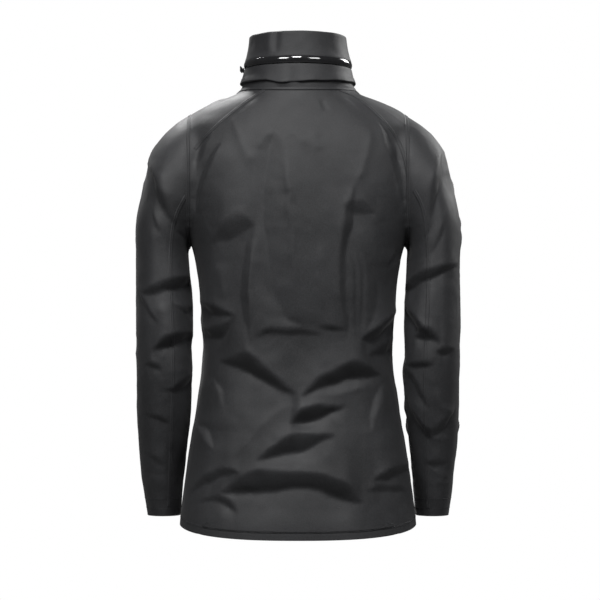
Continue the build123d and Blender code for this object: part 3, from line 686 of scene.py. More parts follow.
LENSES_SLEEVE = [
    # image left (the wearer's left arm)
    ([(142, 293), (157, 282.5), (171, 277), (184, 275.5), (198, 276)],
     [(142, 293), (150, 293.5), (168, 289), (180, 288), (190, 284), (198, 276)], 0.85, 16, 14, False),
    ([(147, 160), (152, 170), (159, 184), (166, 200), (173, 224)],
     [(147, 160), (149, 172), (154, 188), (162, 206), (173, 224)], 0.80, 12, 14, True),
    ([(161, 176), (168, 200), (176, 222), (186, 240)], [(161, 176), (165, 202), (173, 225), (186, 240)], 0.5, 8, 8, True),
    ([(152, 206), (157, 220), (163, 236)], [(152, 206), (154, 223), (163, 236)], 0.55, 6, 8, True),
    ([(134, 282), (145, 300), (159, 327)], [(134, 282), (142, 304), (159, 327)], 0.65, 8, 12, True),
    ([(152, 352), (165, 335), (179, 331), (198, 335)], [(152, 352), (166, 348), (184, 342), (198, 335)], 0.95, 14, 12, False),
    ([(143, 364), (153, 362.5), (163, 371)], [(143, 364), (151, 368), (163, 371)], 0.7, 8, 8, False),
    ([(157, 390), (171, 386), (182, 378), (194, 373)], [(157, 390), (172, 391), (184, 388), (194, 373)], 0.6, 10, 12, False),
    ([(144, 414), (158, 413.5), (172, 424)], [(144, 414), (156, 418.5), (172, 424)], 0.7, 8, 10, False),
    ([(166, 440), (161, 462), (163, 482), (170, 500)], [(166, 440), (175, 462), (176, 482), (170, 500)], 0.38, 10, 14, True),
    ([(146, 452), (156, 455), (168, 466)], [(146, 452), (155, 460), (168, 466)], 0.5, 10, 12, False),
    ([(172, 302), (184, 306), (200, 300)], [(172, 302), (186, 314), (200, 300)], 0.5, 10, 14, False),
    # image right
    ([(442, 150), (434, 172), (429, 192), (427, 215), (425, 242)],
     [(442, 150), (443, 176), (437, 202), (431, 224), (425, 242)], 0.75, 12, 12, True),
    ([(401, 292.5), (411, 280), (423, 271), (436, 266), (447, 264), (459, 265)],
     [(401, 292.5), (412, 288), (421, 282), (436, 276), (447, 271), (459, 265)], 0.85, 16, 14, False),
    ([(447, 210), (439, 230), (429, 256)], [(447, 210), (442, 233), (429, 256)], 0.55, 8, 8, True),
    ([(400, 301), (411, 309), (420, 319), (429, 333)], [(400, 301), (406, 316), (414, 328), (429, 333)], 0.6, 10, 12, False),
    ([(412, 337), (420, 328), (428, 326), (437, 334), (441, 342)],
     [(412, 337), (421, 338.5), (431, 339), (437, 340), (441, 342)], 0.85, 14, 12, False),
    ([(399, 360), (410, 373), (421, 389), (430, 410)], [(399, 360), (407, 377), (418, 395), (430, 410)], 0.65, 10, 10, True),
    ([(405, 364), (415, 361), (424, 359.5), (435, 364)], [(405, 364), (415, 368), (426, 367.5), (435, 364)], 0.65, 10, 8, False),
    ([(437, 352), (446, 346), (456, 349)], [(437, 352), (445, 354.5), (456, 349)], 0.75, 8, 8, False),
    ([(408, 404), (418, 414), (430, 427), (441, 420), (456, 407)],
     [(408, 404), (416, 422), (429, 438), (443, 430), (456, 407)], 0.5, 12, 18, False),
    ([(402, 386), (412, 407), (421, 436)], [(402, 386), (408, 412), (421, 436)], 0.55, 8, 10, True),
    ([(424, 462), (436, 458), (450, 462)], [(424, 462), (436, 467), (450, 462)], 0.45, 10, 12, False),
]
RIDGES_SLEEVE = [
    ([(160, 170), (162, 184), (172, 198)], 1.4, 5),
    ([(176, 300), (188, 320), (198, 334)], 1.6, 5),
    ([(158, 300), (166, 322), (164, 336)], 1.4, 6),
    ([(440, 386), (436, 398), (443, 410), (456, 410)], 1.6, 3.5),
    ([(426, 434), (438, 440), (450, 436)], 1.2, 4),
    ([(434, 470), (442, 476), (450, 474)], 1.0, 3),
    ([(434, 484), (442, 482), (450, 486)], 1.0, 3),
    ([(150, 474), (158, 480), (168, 478)], 1.0, 4),
]


def fold_field(uv, folds, ridges, gain=1.0, ridge=1.0):
    h = np.zeros(len(uv))
    for pts, height, below, above, r in folds:
        h += gain * fold_height(uv, pts, height, below, above, r)
    for pts, height, half in ridges:
        h += ridge * fold_height(uv, pts, height, half, half, 1.6, ends=0.3)
    return h


LENSES_FRONT = [
    # the wearer's right
    ([(198, 306), (218, 304), (242, 317)], [(198, 306), (216, 317), (242, 317)], 0.80, 12, 12, False),
    ([(204, 352), (222, 342), (240, 340), (262, 352), (284, 373)],
     [(204, 352), (226, 355), (246, 359), (266, 365), (284, 373)], 0.80, 22, 16, False),
    ([(230, 396), (246, 384), (262, 382), (286, 393)], [(230, 396), (248, 398), (266, 396), (286, 393)], 0.75, 14, 14, False),
    ([(212, 492), (232, 478), (256, 477), (282, 490)], [(212, 492), (234, 491), (258, 492), (282, 490)], 0.65, 18, 14, False),
    ([(246, 146), (240, 190), (243, 240), (257, 302)], [(246, 146), (229, 190), (231, 240), (257, 302)], 0.34, 14, 12, True),
    ([(226, 138), (214, 163), (206, 202)], [(226, 138), (207, 159), (206, 202)], 0.65, 12, 8, True),
    ([(202, 244), (220, 254), (240, 270), (258, 294)], [(202, 244), (214, 261), (234, 281), (258, 294)], 0.70, 14, 14, False),
    ([(268, 170), (272, 220), (268, 272)], [(268, 170), (265, 220), (268, 272)], 0.36, 8, 8, True),
    ([(214, 330), (228, 326), (246, 332)], [(214, 330), (229, 333), (246, 332)], 0.6, 8, 10, False),
    # the wearer's left
    ([(360, 341), (376, 326), (402, 307)], [(360, 341), (380, 339), (402, 307)], 0.85, 12, 12, False),
    ([(314, 386), (336, 366), (360, 352), (390, 356)], [(314, 386), (340, 379), (364, 367), (390, 356)], 0.90, 22, 14, False),
    ([(320, 428), (340, 411), (366, 407)], [(320, 428), (344, 424), (366, 407)], 0.65, 12, 12, False),
    ([(316, 497), (344, 480), (372, 478), (394, 490)], [(316, 497), (346, 494), (374, 492), (394, 490)], 0.65, 18, 14, False),
    ([(352, 142), (360, 190), (358, 240), (345, 298)], [(352, 142), (372, 190), (370, 240), (345, 298)], 0.34, 14, 12, True),
    ([(376, 138), (388, 165), (396, 206)], [(376, 138), (394, 161), (396, 206)], 0.65, 12, 8, True),
    ([(342, 300), (362, 277), (382, 258), (402, 244)], [(342, 300), (366, 291), (388, 271), (402, 244)], 0.65, 14, 14, False),
    ([(331, 176), (327, 226), (332, 280)], [(331, 176), (335, 226), (332, 280)], 0.36, 8, 8, True),
    ([(352, 322), (366, 312), (380, 310)], [(352, 322), (367, 319), (380, 310)], 0.55, 8, 8, False),
]
RIDGES_FRONT = [
    ([(250, 120), (240, 170), (244, 230), (260, 292)], 1.8, 4),
    ([(350, 122), (360, 176), (354, 238), (340, 296)], 1.8, 4),
    ([(286, 374), (262, 400), (240, 436), (226, 462)], 1.5, 6),
    ([(314, 388), (338, 410), (352, 440)], 1.3, 6),
    ([(266, 96), (248, 112), (232, 124)], -1.4, 4),
    ([(334, 96), (352, 112), (368, 124)], -1.4, 4),
]


def arm_share(p, hard):
    """1 on the sleeves, 0 on the body, turning over softly at the armhole."""
    soft = smooth((np.abs(p[:, 0]) - 169) / 18)
    w = smooth((-p[:, 2] - 235) / 25)
    return soft * (1 - w) + hard * w


def creases(p, scale, seed):
    """Long winding crease lines, 0 to 1, from the zero lines of smooth noise."""
    n = smooth_noise(p, scale, seed, 2)
    m = smooth((smooth_noise(p, scale * 1.3, seed + 50, 1) + 0.25) / 0.5)
    return np.clip(1 - np.abs(n) * 3.2, 0, 1) ** 1.6 * m


def fold_move(co, normals, share):
    """How far each point moves along its normal, in mm."""
    uv = view_uv(co)
    uv = uv + 1.5 * np.stack([smooth_noise(co, 26.0, 71), smooth_noise(co, 26.0, 72)], 1)
    back = smooth((normals[:, 1] + 0.10) / 0.45)
    facets = fold_field(uv, [], RIDGES_BACK, 1.0, 1.3)
    for lens in LENSES_BACK:
        facets += lens_height(uv, *lens)
    h = (1 - share) * back * facets
    facets = fold_field(uv, [], RIDGES_SLEEVE, 1.0, 1.3)
    for lens in LENSES_SLEEVE:
        facets += lens_height(uv, *lens)
    h += share * back * facets
    ahead = smooth((-normals[:, 1] + 0.05) / 0.45) * (co[:, 1] < 0)
    fuv = np.stack([300 + co[:, 0] / PER, 300 - (co[:, 2] - Z_CAM) / PER], 1)
    fuv = fuv + 1.5 * np.stack([smooth_noise(co, 26.0, 73), smooth_noise(co, 26.0, 74)], 1)
    facets = fold_field(fuv, [], RIDGES_FRONT, 1.0, 1.2)
    for lens in LENSES_FRONT:
        facets += lens_height(fuv, *lens)
    zip_side = smooth((np.abs(co[:, 0]) - 12) / 30)
    h += (1 - share) * ahead * zip_side * facets
    away = 1 - back
    # body sides and front: slanting drapes
    q = co.copy()
    q[:, 2] = q[:, 2] * 0.8 + np.abs(q[:, 0]) * 0.45
    q[:, 0] *= 0.7
    body = 2.0 * smooth_noise(q, 70.0, 21) + 3.4 * creases(q, 74.0, 61) - 0.8
    zip_quiet = np.where(co[:, 1] < 0, smooth((np.abs(co[:, 0]) - 14) / 45), 1)
    # sleeves: creases that wind round the arm
    s = co.copy()
    s[:, 2] = s[:, 2] * 1.2 + s[:, 1] * 0.7
    s[:, 0] *= 0.5
    s[:, 1] *= 0.6
    arm = 3.0 * smooth_noise(s, 60.0, 37) + 5.5 * creases(s, 62.0, 83) - 1.0
    near = np.exp(-(((co[:, 2] + 400) / 130) ** 2))
    h += away * ((1 - share) * body * zip_quiet + share * arm * (0.55 + 0.6 * near))
    # slight unevenness everywhere
    h += 0.9 * creases(q, 40.0, 301) * (0.4 + 0.6 * away)
    h += 0.35 * smooth_noise(co, 24.0, 5)
    return h


def quiet_at_edges(co, share):
    hem = HEM_Z + HEM_SLOPE * co[:, 1]
    w = smooth((2.0 - co[:, 2]) / 16)
    w *= np.where(
        share > 0.5,
        0.10 + 0.90 * smooth((co[:, 2] - CUFF_Z - 12) / 45),
        0.30 + 0.70 * smooth((co[:, 2] - hem - 4) / 45),
    )
    return w


def settle_round_fittings(co, share):
    """Lies flat and a little proud beside the zips."""
    co = co.copy()
    r = np.hypot(co[:, 1] - FRONT_YC, co[:, 2] - FRONT_ZC)
    front = (co[:, 1] < -40) & (np.abs(co[:, 0]) < 60)
    w = np.where(front, 1 - smooth((np.abs(co[:, 0]) - 17) / 24), 0)
    d = r - FRONT_R
    new = FRONT_R + d + w * (2.4 - d)
    k = new / r
    co[:, 1] = FRONT_YC + (co[:, 1] - FRONT_YC) * k
    co[:, 2] = FRONT_ZC + (co[:, 2] - FRONT_ZC) * k
    for c, x, up, out, half in POCKET.values():
        q = co - c
        lx, ly, lo = q @ x, q @ up, q @ out
        w = (
            (1 - smooth((np.abs(lx) - 12) / 30))
            * (1 - smooth((np.abs(ly) - half) / 26))
            * (np.abs(lo) < 32)
            * (share < 0.5)
        )
        co += out * (w * (1.6 - lo))[:, None]
    return co


# ---------------------------------------------------------------------------
# Settling: the cloth keeps its lengths while it gives way. Every edge is pulled back
# towards its length on the smooth form, a little longer along the sleeves, and each
# point stays near the place the folds gave it.
# ---------------------------------------------------------------------------
def settle(co, goal, rest_from, normals, edges, faces, share, steps=260):
    pairs = np.concatenate([edges, faces[:, [0, 2]], faces[:, [1, 3]]])
    a, b = pairs[:, 0], pairs[:, 1]
    d0 = rest_from[b] - rest_from[a]
    s = (share[a] + share[b]) / 2
    stretch = np.array([1.004, 1.004, 1.012])[None, :] * (1 - s)[:, None] + np.array(
        [1.0, 1.0, 1.035]
    )[None, :] * s[:, None]
    rest = np.linalg.norm(d0 * stretch, axis=1)
    n = len(co)
    count = np.bincount(a, minlength=n) + np.bincount(b, minlength=n)
    count = np.maximum(count, 1)[:, None]
    hold = 0.03 + 0.3 * (1 - quiet_at_edges(rest_from, share))
    base = co.copy()
    for step in range(steps):
        d = co[b] - co[a]
        length = np.linalg.norm(d, axis=1)
        pull = d * (0.5 * (length - rest) / np.maximum(length, 1e-9))[:, None]
        move = np.zeros_like(co)
        for c in range(3):
            move[:, c] = np.bincount(a, weights=pull[:, c], minlength=n) - np.bincount(
                b, weights=pull[:, c], minlength=n
            )
        co = co + 1.35 * move / count
        co += hold[:, None] * (goal - co)
        if step % 20 == 19:
            co = laplacian(co, edges, 1, 0.08, None)
            out = ((co - rest_from) * normals).sum(1)
            lo, hi = -9.0, 17.0
            fix = np.clip(out, lo, hi) - out
            co += normals * fix[:, None]
    return co


# ---------------------------------------------------------------------------
# Pieces cut from the skin
# ---------------------------------------------------------------------------
def quads(mesh):
    v = np.zeros(len(mesh.loops), np.int64)
    mesh.loops.foreach_get("vertex_index", v)
    part = np.zeros(len(mesh.polygons), np.int32)
    mesh.polygons.foreach_get("material_index", part)
    return v.reshape(-1, 4), part


def edge_keys(f, n):
    a, b = f, np.roll(f, -1, axis=1)
    return np.minimum(a, b) * n + np.maximum(a, b)


def mesh_object(name, verts, faces, mats, index, normals=None):
    """verts in mm, faces as an array of quads, index the material of each face."""
    mesh = bpy.data.meshes.new(name)
    mesh.vertices.add(len(verts))
    mesh.vertices.foreach_set("co", (verts * 0.001).astype(np.float32).ravel())
    mesh.loops.add(faces.size)
    mesh.loops.foreach_set("vertex_index", faces.astype(np.int32).ravel())
    mesh.polygons.add(len(faces))
    mesh.polygons.foreach_set(
        "loop_start", np.arange(0, faces.size, faces.shape[1], dtype=np.int32)
    )
    for m in mats:
        mesh.materials.append(m)
    mesh.polygons.foreach_set("material_index", np.asarray(index, np.int32))
    mesh.update(calc_edges=True)
    mesh.polygons.foreach_set("use_smooth", [True] * len(faces))
    if normals is not None:
        mesh.normals_split_custom_set([tuple(v) for v in normals])
    obj = link(bpy.data.objects.new(name, mesh))
    return obj


def sheet(name, keep, V, N, F, rim_keys, mats, outer=0.0, thick=1.5, total_keys=None):
    """A cloth piece with an outer and an inner face from some of the skin's faces. Its
    edge is closed along rim_keys."""
    f = F[keep]
    used = np.unique(f)
    remap = np.full(len(V), -1, np.int64)
    remap[used] = np.arange(len(used))
    v0 = V[used] + N[used] * outer
    v1 = V[used] + N[used] * (outer - thick)
    n = len(used)
    fo = remap[f]
    fi = fo[:, ::-1] + n
    keys = edge_keys(f, len(V))
    a, b = fo, np.roll(fo, -1, axis=1)
    on_rim = np.isin(keys, rim_keys)
    ea, eb = a[on_rim], b[on_rim]
    rim = np.stack([eb, ea, ea + n, eb + n], 1)
    verts = np.concatenate([v0, v1])
    faces = np.concatenate([fo, fi, rim])
    index = np.concatenate([np.zeros(len(fo)), np.ones(len(fi)), np.zeros(len(rim))])
    nn = np.concatenate([N[used], -N[used]])
    loops = nn[faces]
    if len(rim):
        p = verts[rim]
        fn = np.cross(p[:, 2] - p[:, 0], p[:, 3] - p[:, 1])
        fn /= np.maximum(np.linalg.norm(fn, axis=1), 1e-9)[:, None]
        outer_n = nn[rim]
        mixed = outer_n * 0.5 + fn[:, None, :]
        mixed /= np.linalg.norm(mixed, axis=2)[:, :, None]
        loops[-len(rim):] = mixed
    obj = mesh_object(name, verts, faces, mats, index, loops.reshape(-1, 3))
    return obj


def border_keys(keep, F, n):
    """Keys of edges used by one face only among those kept."""
    k = edge_keys(F[keep], n).ravel()
    u, c = np.unique(k, return_counts=True)
    return u[c == 1]


def lift_weight(p):
    """How far a point of the upper sleeve follows the arm: nothing at the armhole."""
    x, z = np.abs(p[:, 0]), -p[:, 2]
    return smooth(np.maximum((x - 181.0) / 70.0, (z - 246.0) / 104.0))


def elbow_weight(p):
    return smooth((-365.0 - p[:, 2]) / 110.0)


def ride_shell(obj, slot, *nodes):
    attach(obj, "shell")
    if nodes:
        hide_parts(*nodes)
    return obj


def bend(obj, a, b, start, end, weights, slot, *nodes):
    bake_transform(obj, a, b, start=start, end=end)
    obj.data.attributes["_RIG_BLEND"].data.foreach_set(
        "value", weights.astype(np.float32)
    )
    if nodes:
        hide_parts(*nodes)
    return obj


def on_sleeve_top(obj, side, slot, *nodes):
    s = 1 if side == "left" else -1
    return bend(
        obj, "shell", f"upper_sleeve_{side}",
        (s * 0.181, 0, -0.27), (s * 0.251, 0, -0.30),
        lift_weight(coords(obj.data)), slot, *nodes,
    )


def on_sleeve_low(obj, side, slot, *nodes):
    s = 1 if side == "left" else -1
    return bend(
        obj, f"upper_sleeve_{side}", f"forearm_{side}",
        (s * ELBOW[0], ELBOW[1], -0.365), (s * ELBOW[0], ELBOW[1], -0.475),
        elbow_weight(coords(obj.data)), slot, *nodes,
    )


# ---------------------------------------------------------------------------
# Ribbons and stitches that follow the skin
# ---------------------------------------------------------------------------
def tree_of(V, F):
    return BVHTree.FromPolygons(V.tolist(), F.tolist())


def resample(points, step):
    p = np.asarray(points, float)
    length = np.concatenate([[0], np.cumsum(np.linalg.norm(np.diff(p, axis=0), axis=1))])
    count = max(2, int(round(length[-1] / step)) + 1)
    t = np.linspace(0, length[-1], count)
    return np.stack([np.interp(t, length, p[:, c]) for c in range(p.shape[1])], 1)


def rounded(points, times=2):
    p = np.asarray(points, float)
    for _ in range(times):
        q = [p[0]]
        for a, b in zip(p, p[1:]):
            q += [a * 0.75 + b * 0.25, a * 0.25 + b * 0.75]
        q.append(p[-1])
        p = np.array(q)
    return p


def from_view(points, tree, step=3.0):
    """Points on the skin seen at these picture-plane places."""
    out = []
    origin = Vector((X_CAM, D_CAM, Z_CAM))
    for u, v in resample(rounded(points), step / PER):
        target = Vector((X_CAM - (u - 300) * PER, 0, Z_CAM - (v - 300) * PER))
        hit = tree.ray_cast(origin, (target - origin).normalized())
        if hit[0] is not None:
            out.append(hit[0])
    return np.array(out)


def nearest(tree, pts):
    loc, nor = np.zeros_like(pts), np.zeros_like(pts)
    for i, p in enumerate(pts):
        hit = tree.find_nearest(Vector(p))
        loc[i], nor[i] = hit[0], hit[1]
    return loc, nor


def smooth_line(p, times, closed=False):
    for _ in range(times):
        if closed:
            p = (np.roll(p, 1, 0) + 2 * p + np.roll(p, -1, 0)) / 4
        else:
            q = p.copy()
            q[1:-1] = (p[:-2] + 2 * p[1:-1] + p[2:]) / 4
            p = q
    return p


def ribbon_frames(path, tree, closed):
    path, nor = nearest(tree, path)
    nor = smooth_line(nor, 3, closed)
    nor /= np.maximum(np.linalg.norm(nor, axis=1), 1e-9)[:, None]
    if closed:
        tan = np.roll(path, -1, 0) - np.roll(path, 1, 0)
    else:
        tan = np.gradient(path, axis=0)
    tan /= np.maximum(np.linalg.norm(tan, axis=1), 1e-9)[:, None]
    across = np.cross(tan, nor)
    across /= np.maximum(np.linalg.norm(across, axis=1), 1e-9)[:, None]
    return path, nor, tan, across


def ribbon(name, path, tree, width, height, material, closed=False, groove=0.5):
    """A narrow strip raised on the skin, with a seam groove along its middle."""
    path, nor, tan, across = ribbon_frames(path, tree, closed)
    prof = [(-0.5, -0.25), (-0.42, height), (-0.1, height), (0.0, height * (1 - groove)),
            (0.1, height), (0.42, height), (0.5, -0.25)]
    rows = []
    for off, lift in prof:
        side, n = nearest(tree, path + across * (off * width))
        rows.append(side + nor * lift)
    m, k = len(path), len(prof)
    v = np.stack(rows, 1).reshape(-1, 3)
    f = np.array(grid_faces(m, k, False))
    if closed:
        last = np.array([((m - 1) * k + j, (m - 1) * k + j + 1, j + 1, j) for j in range(k - 1)])
        f = np.concatenate([f, last])
    # outwards
    p = v[f]
    fn = np.cross(p[:, 2] - p[:, 0], p[:, 3] - p[:, 1])
    want = np.repeat(nor, 1, 0)[np.minimum(f[:, 0] // k, m - 1)]
    if (fn * want).sum() < 0:
        f = f[:, ::-1]
    return mesh_object(name, v, f, [material], np.zeros(len(f)))


def stitches(name, path, tree, offsets, material, closed=False, pitch=3.4, size=2.3, lift=0.35):
    """Rows of thread stitches lying along a line on the skin."""
    verts, faces = [], []
    for off in offsets:
        line, nor, tan, across = ribbon_frames(path, tree, closed)
        line, _ = nearest(tree, line + across * off)
        if closed:
            line = np.concatenate([line, line[:1]])
            nor = np.concatenate([nor, nor[:1]])
        both = resample(np.concatenate([line, nor], 1), pitch)
        line, nor = both[:, :3], both[:, 3:]
        nor /= np.linalg.norm(nor, axis=1)[:, None]
        tan = np.gradient(line, axis=0)
        tan /= np.maximum(np.linalg.norm(tan, axis=1), 1e-9)[:, None]
        side = np.cross(tan, nor)
        for c, n, t, s in zip(line, nor, tan, side):
            b = len(verts)
            h = size / 2
            verts += [
                c - t * h + n * (lift - 0.5),
                c - t * h * 0.5 + s * 0.36 + n * (lift - 0.1),
                c - t * h * 0.5 + n * (lift + 0.3),
                c - t * h * 0.5 - s * 0.36 + n * (lift - 0.1),
                c + t * h * 0.5 + s * 0.36 + n * (lift - 0.1),
                c + t * h * 0.5 + n * (lift + 0.3),
                c + t * h * 0.5 - s * 0.36 + n * (lift - 0.1),
                c + t * h + n * (lift - 0.5),
            ]
            faces += [
                (b, b + 2, b + 1, b), (b, b + 3, b + 2, b),
                (b + 1, b + 2, b + 5, b + 4), (b + 2, b + 3, b + 6, b + 5),
                (b + 4, b + 5, b + 7, b + 4), (b + 5, b + 6, b + 7, b + 5),
                (b, b + 1, b + 4, b + 7), (b, b + 7, b + 6, b + 3),
            ]
    tidy = [tuple(dict.fromkeys(f)) for f in faces]
    mesh = bpy.data.meshes.new(name)
    mesh.from_pydata((np.array(verts) * 0.001).tolist(), [], tidy)
    mesh.materials.append(material)
    mesh.polygons.foreach_set("use_smooth", [True] * len(mesh.polygons))
    return link(bpy.data.objects.new(name, mesh))


def joined(name, objs):
    """One object from several."""
    verts, faces, index, mats = [], [], [], []
    base = 0
    for o in objs:
        m = o.data
        verts.append(coords(m))
        for mat in m.materials:
            if mat not in mats:
                mats.append(mat)
        lookup = [mats.index(mat) for mat in m.materials]
        for p in m.polygons:
            faces.append(tuple(i + base for i in p.vertices))
            index.append(lookup[p.material_index])
        base += len(m.vertices)
        bpy.data.objects.remove(o)
    mesh = bpy.data.meshes.new(name)
    mesh.from_pydata((np.concatenate(verts) * 0.001).tolist(), [], faces)
    for mat in mats:
        mesh.materials.append(mat)
    mesh.polygons.foreach_set("material_index", index)
    mesh.polygons.foreach_set("use_smooth", [True] * len(faces))
    return link(bpy.data.objects.new(name, mesh))


# ---------------------------------------------------------------------------
# Materials
# ---------------------------------------------------------------------------
def nodes_of(material):
    material.use_nodes = True
    tree = material.node_tree
    bsdf = tree.nodes["Principled BSDF"]
    return tree, bsdf


def cloth_material(
    name, base, rough=0.62, weave=0.0011, bump=0.12, sheen=0.25, spec=0.35, vary=0.25
):
    material = bpy.data.materials.new(name)
    tree, bsdf = nodes_of(material)
    n, l = tree.nodes, tree.links
    at = n.new("ShaderNodeTexCoord")
    # colour: slow unevenness and a fine heather
    slow = n.new("ShaderNodeTexNoise")
    slow.inputs["Scale"].default_value = 9
    slow.inputs["Detail"].default_value = 4
    fine = n.new("ShaderNodeTexNoise")
    fine.inputs["Scale"].default_value = 520
    fine.inputs["Detail"].default_value = 2
    l.new(at.outputs["Object"], slow.inputs["Vector"])
    l.new(at.outputs["Object"], fine.inputs["Vector"])
    mix = n.new("ShaderNodeMix")
    mix.data_type = "FLOAT"
    mix.inputs[0].default_value = 0.55
    l.new(slow.outputs["Fac"], mix.inputs[2])
    l.new(fine.outputs["Fac"], mix.inputs[3])
    ramp = n.new("ShaderNodeValToRGB")
    ramp.color_ramp.elements[0].position = 0.36
    ramp.color_ramp.elements[1].position = 0.64
    lo = [c * (1 - vary) for c in base]
    hi = [c * (1 + vary) for c in base]
    ramp.color_ramp.elements[0].color = (*lo, 1)
    ramp.color_ramp.elements[1].color = (*hi, 1)
    l.new(mix.outputs[0], ramp.inputs["Fac"])
    l.new(ramp.outputs["Color"], bsdf.inputs["Base Color"])
    # weave: two crossed waves
    waves = []
    for direction in ("X", "Z"):
        w = n.new("ShaderNodeTexWave")
        w.wave_type = "BANDS"
        w.bands_direction = direction
        w.inputs["Scale"].default_value = 0.31 / weave
        w.inputs["Distortion"].default_value = 0.6
        w.inputs["Detail"].default_value = 1.0
        l.new(at.outputs["Object"], w.inputs["Vector"])
        waves.append(w)
    both = n.new("ShaderNodeMath")
    both.operation = "MULTIPLY"
    l.new(waves[0].outputs["Fac"], both.inputs[0])
    l.new(waves[1].outputs["Fac"], both.inputs[1])
    crumple = n.new("ShaderNodeTexNoise")
    crumple.noise_type = "RIDGED_MULTIFRACTAL"
    crumple.inputs["Scale"].default_value = 16
    crumple.inputs["Detail"].default_value = 4.0
    crumple.inputs["Roughness"].default_value = 0.62
    crumple.inputs["Distortion"].default_value = 0.8
    l.new(at.outputs["Object"], crumple.inputs["Vector"])
    b1 = n.new("ShaderNodeBump")
    b1.inputs["Strength"].default_value = bump
    b1.inputs["Distance"].default_value = 0.0006
    l.new(both.outputs[0], b1.inputs["Height"])
    b2 = n.new("ShaderNodeBump")
    b2.inputs["Strength"].default_value = 0.30
    b2.inputs["Distance"].default_value = 0.0022
    l.new(crumple.outputs["Fac"], b2.inputs["Height"])
    l.new(b1.outputs["Normal"], b2.inputs["Normal"])
    l.new(b2.outputs["Normal"], bsdf.inputs["Normal"])
    # roughness follows the heather a little
    r = n.new("ShaderNodeMapRange")
    r.inputs["To Min"].default_value = rough - 0.06
    r.inputs["To Max"].default_value = rough + 0.06
    l.new(fine.outputs["Fac"], r.inputs["Value"])
    l.new(r.outputs["Result"], bsdf.inputs["Roughness"])
    bsdf.inputs["Specular IOR Level"].default_value = spec
    bsdf.inputs["Sheen Weight"].default_value = sheen
    bsdf.inputs["Sheen Roughness"].default_value = 0.4
    return material


def plain_material(name, base, rough, spec=0.5, scale=300, bump=0.1, metallic=0.0, coat=0.0):
    material = bpy.data.materials.new(name)
    tree, bsdf = nodes_of(material)
    n, l = tree.nodes, tree.links
    at = n.new("ShaderNodeTexCoord")
    noise = n.new("ShaderNodeTexNoise")
    noise.inputs["Scale"].default_value = scale
    noise.inputs["Detail"].default_value = 3
    l.new(at.outputs["Object"], noise.inputs["Vector"])
    ramp = n.new("ShaderNodeValToRGB")
    ramp.color_ramp.elements[0].color = (*[c * 0.8 for c in base], 1)
    ramp.color_ramp.elements[1].color = (*[c * 1.2 for c in base], 1)
    l.new(noise.outputs["Fac"], ramp.inputs["Fac"])
    l.new(ramp.outputs["Color"], bsdf.inputs["Base Color"])
    b = n.new("ShaderNodeBump")
    b.inputs["Strength"].default_value = bump
    b.inputs["Distance"].default_value = 0.0004
    l.new(noise.outputs["Fac"], b.inputs["Height"])
    l.new(b.outputs["Normal"], bsdf.inputs["Normal"])
    r = n.new("ShaderNodeMapRange")
    r.inputs["To Min"].default_value = max(0.02, rough - 0.05)
    r.inputs["To Max"].default_value = rough + 0.05
    l.new(noise.outputs["Fac"], r.inputs["Value"])
    l.new(r.outputs["Result"], bsdf.inputs["Roughness"])
    bsdf.inputs["Specular IOR Level"].default_value = spec
    bsdf.inputs["Metallic"].default_value = metallic
    bsdf.inputs["Coat Weight"].default_value = coat
    bsdf.inputs["Coat Roughness"].default_value = 0.08
    return material


SHELL = cloth_material("shell_fabric", (0.024, 0.0244, 0.0262), rough=0.56, spec=0.38, sheen=0.08, bump=0.2, vary=0.3)
COLLAR = cloth_material("collar_fabric", (0.0195, 0.0198, 0.0214), rough=0.56, spec=0.36, sheen=0.06, bump=0.2, vary=0.3)
SEAM = cloth_material("seam_fabric", (0.024, 0.0244, 0.0262), rough=0.6, spec=0.35, bump=0.2, sheen=0.08)
LINING = cloth_material("lining_fabric", (0.034, 0.035, 0.038), rough=0.7, weave=0.0016, sheen=0.2)
TAPE = cloth_material("zip_tape", (0.011, 0.011, 0.012), rough=0.42, weave=0.0008, spec=0.5, sheen=0.05)
GLOSSY = plain_material("laminated_tape", (0.010, 0.010, 0.011), 0.10, spec=0.7, scale=60, bump=0.05, coat=0.8)
COIL = plain_material("zip_coil", (0.012, 0.012, 0.013), 0.32, scale=900, bump=0.6)
METAL = plain_material("slider_metal", (0.05, 0.05, 0.052), 0.30, spec=0.6, metallic=0.75)
CORD = cloth_material("cord", (0.014, 0.014, 0.016), rough=0.75, weave=0.0012, bump=0.5)
LOCK = plain_material("cord_lock", (0.016, 0.016, 0.017), 0.42, scale=700, bump=0.3)
RUBBER = plain_material("tab_rubber", (0.018, 0.018, 0.020), 0.55, scale=500, bump=0.25)
THREAD = plain_material("thread", (0.026, 0.026, 0.029), 0.6, scale=1500, bump=0.5)

SIDES = ("left", "right")

# ---------------------------------------------------------------------------
# Build the skin
# ---------------------------------------------------------------------------
coarse = base_skin()
holder = link(bpy.data.objects.new("tmp_coarse", coarse))
sub = holder.modifiers.new("sub", "SUBSURF")
sub.levels = 1
sub.render_levels = 1
fine = evaluated(holder)
bpy.data.objects.remove(holder)
F, PART = quads(fine)
V0, N0 = coords(fine), vertex_normals(fine)
body_v = np.zeros(len(V0), bool)
body_v[F[PART == 0]] = True
sleeve_v = np.zeros(len(V0), bool)
sleeve_v[F[PART > 0]] = True
SHARE = arm_share(V0, sleeve_v.astype(float))
EDGES = edge_pairs(fine)
CALM = quiet_at_edges(V0, SHARE)
goal = V0 + N0 * (fold_move(V0, N0, SHARE) * CALM)[:, None]
V = settle(goal, goal, V0, N0, EDGES, F, SHARE, 8)
V = settle_round_fittings(V, SHARE)
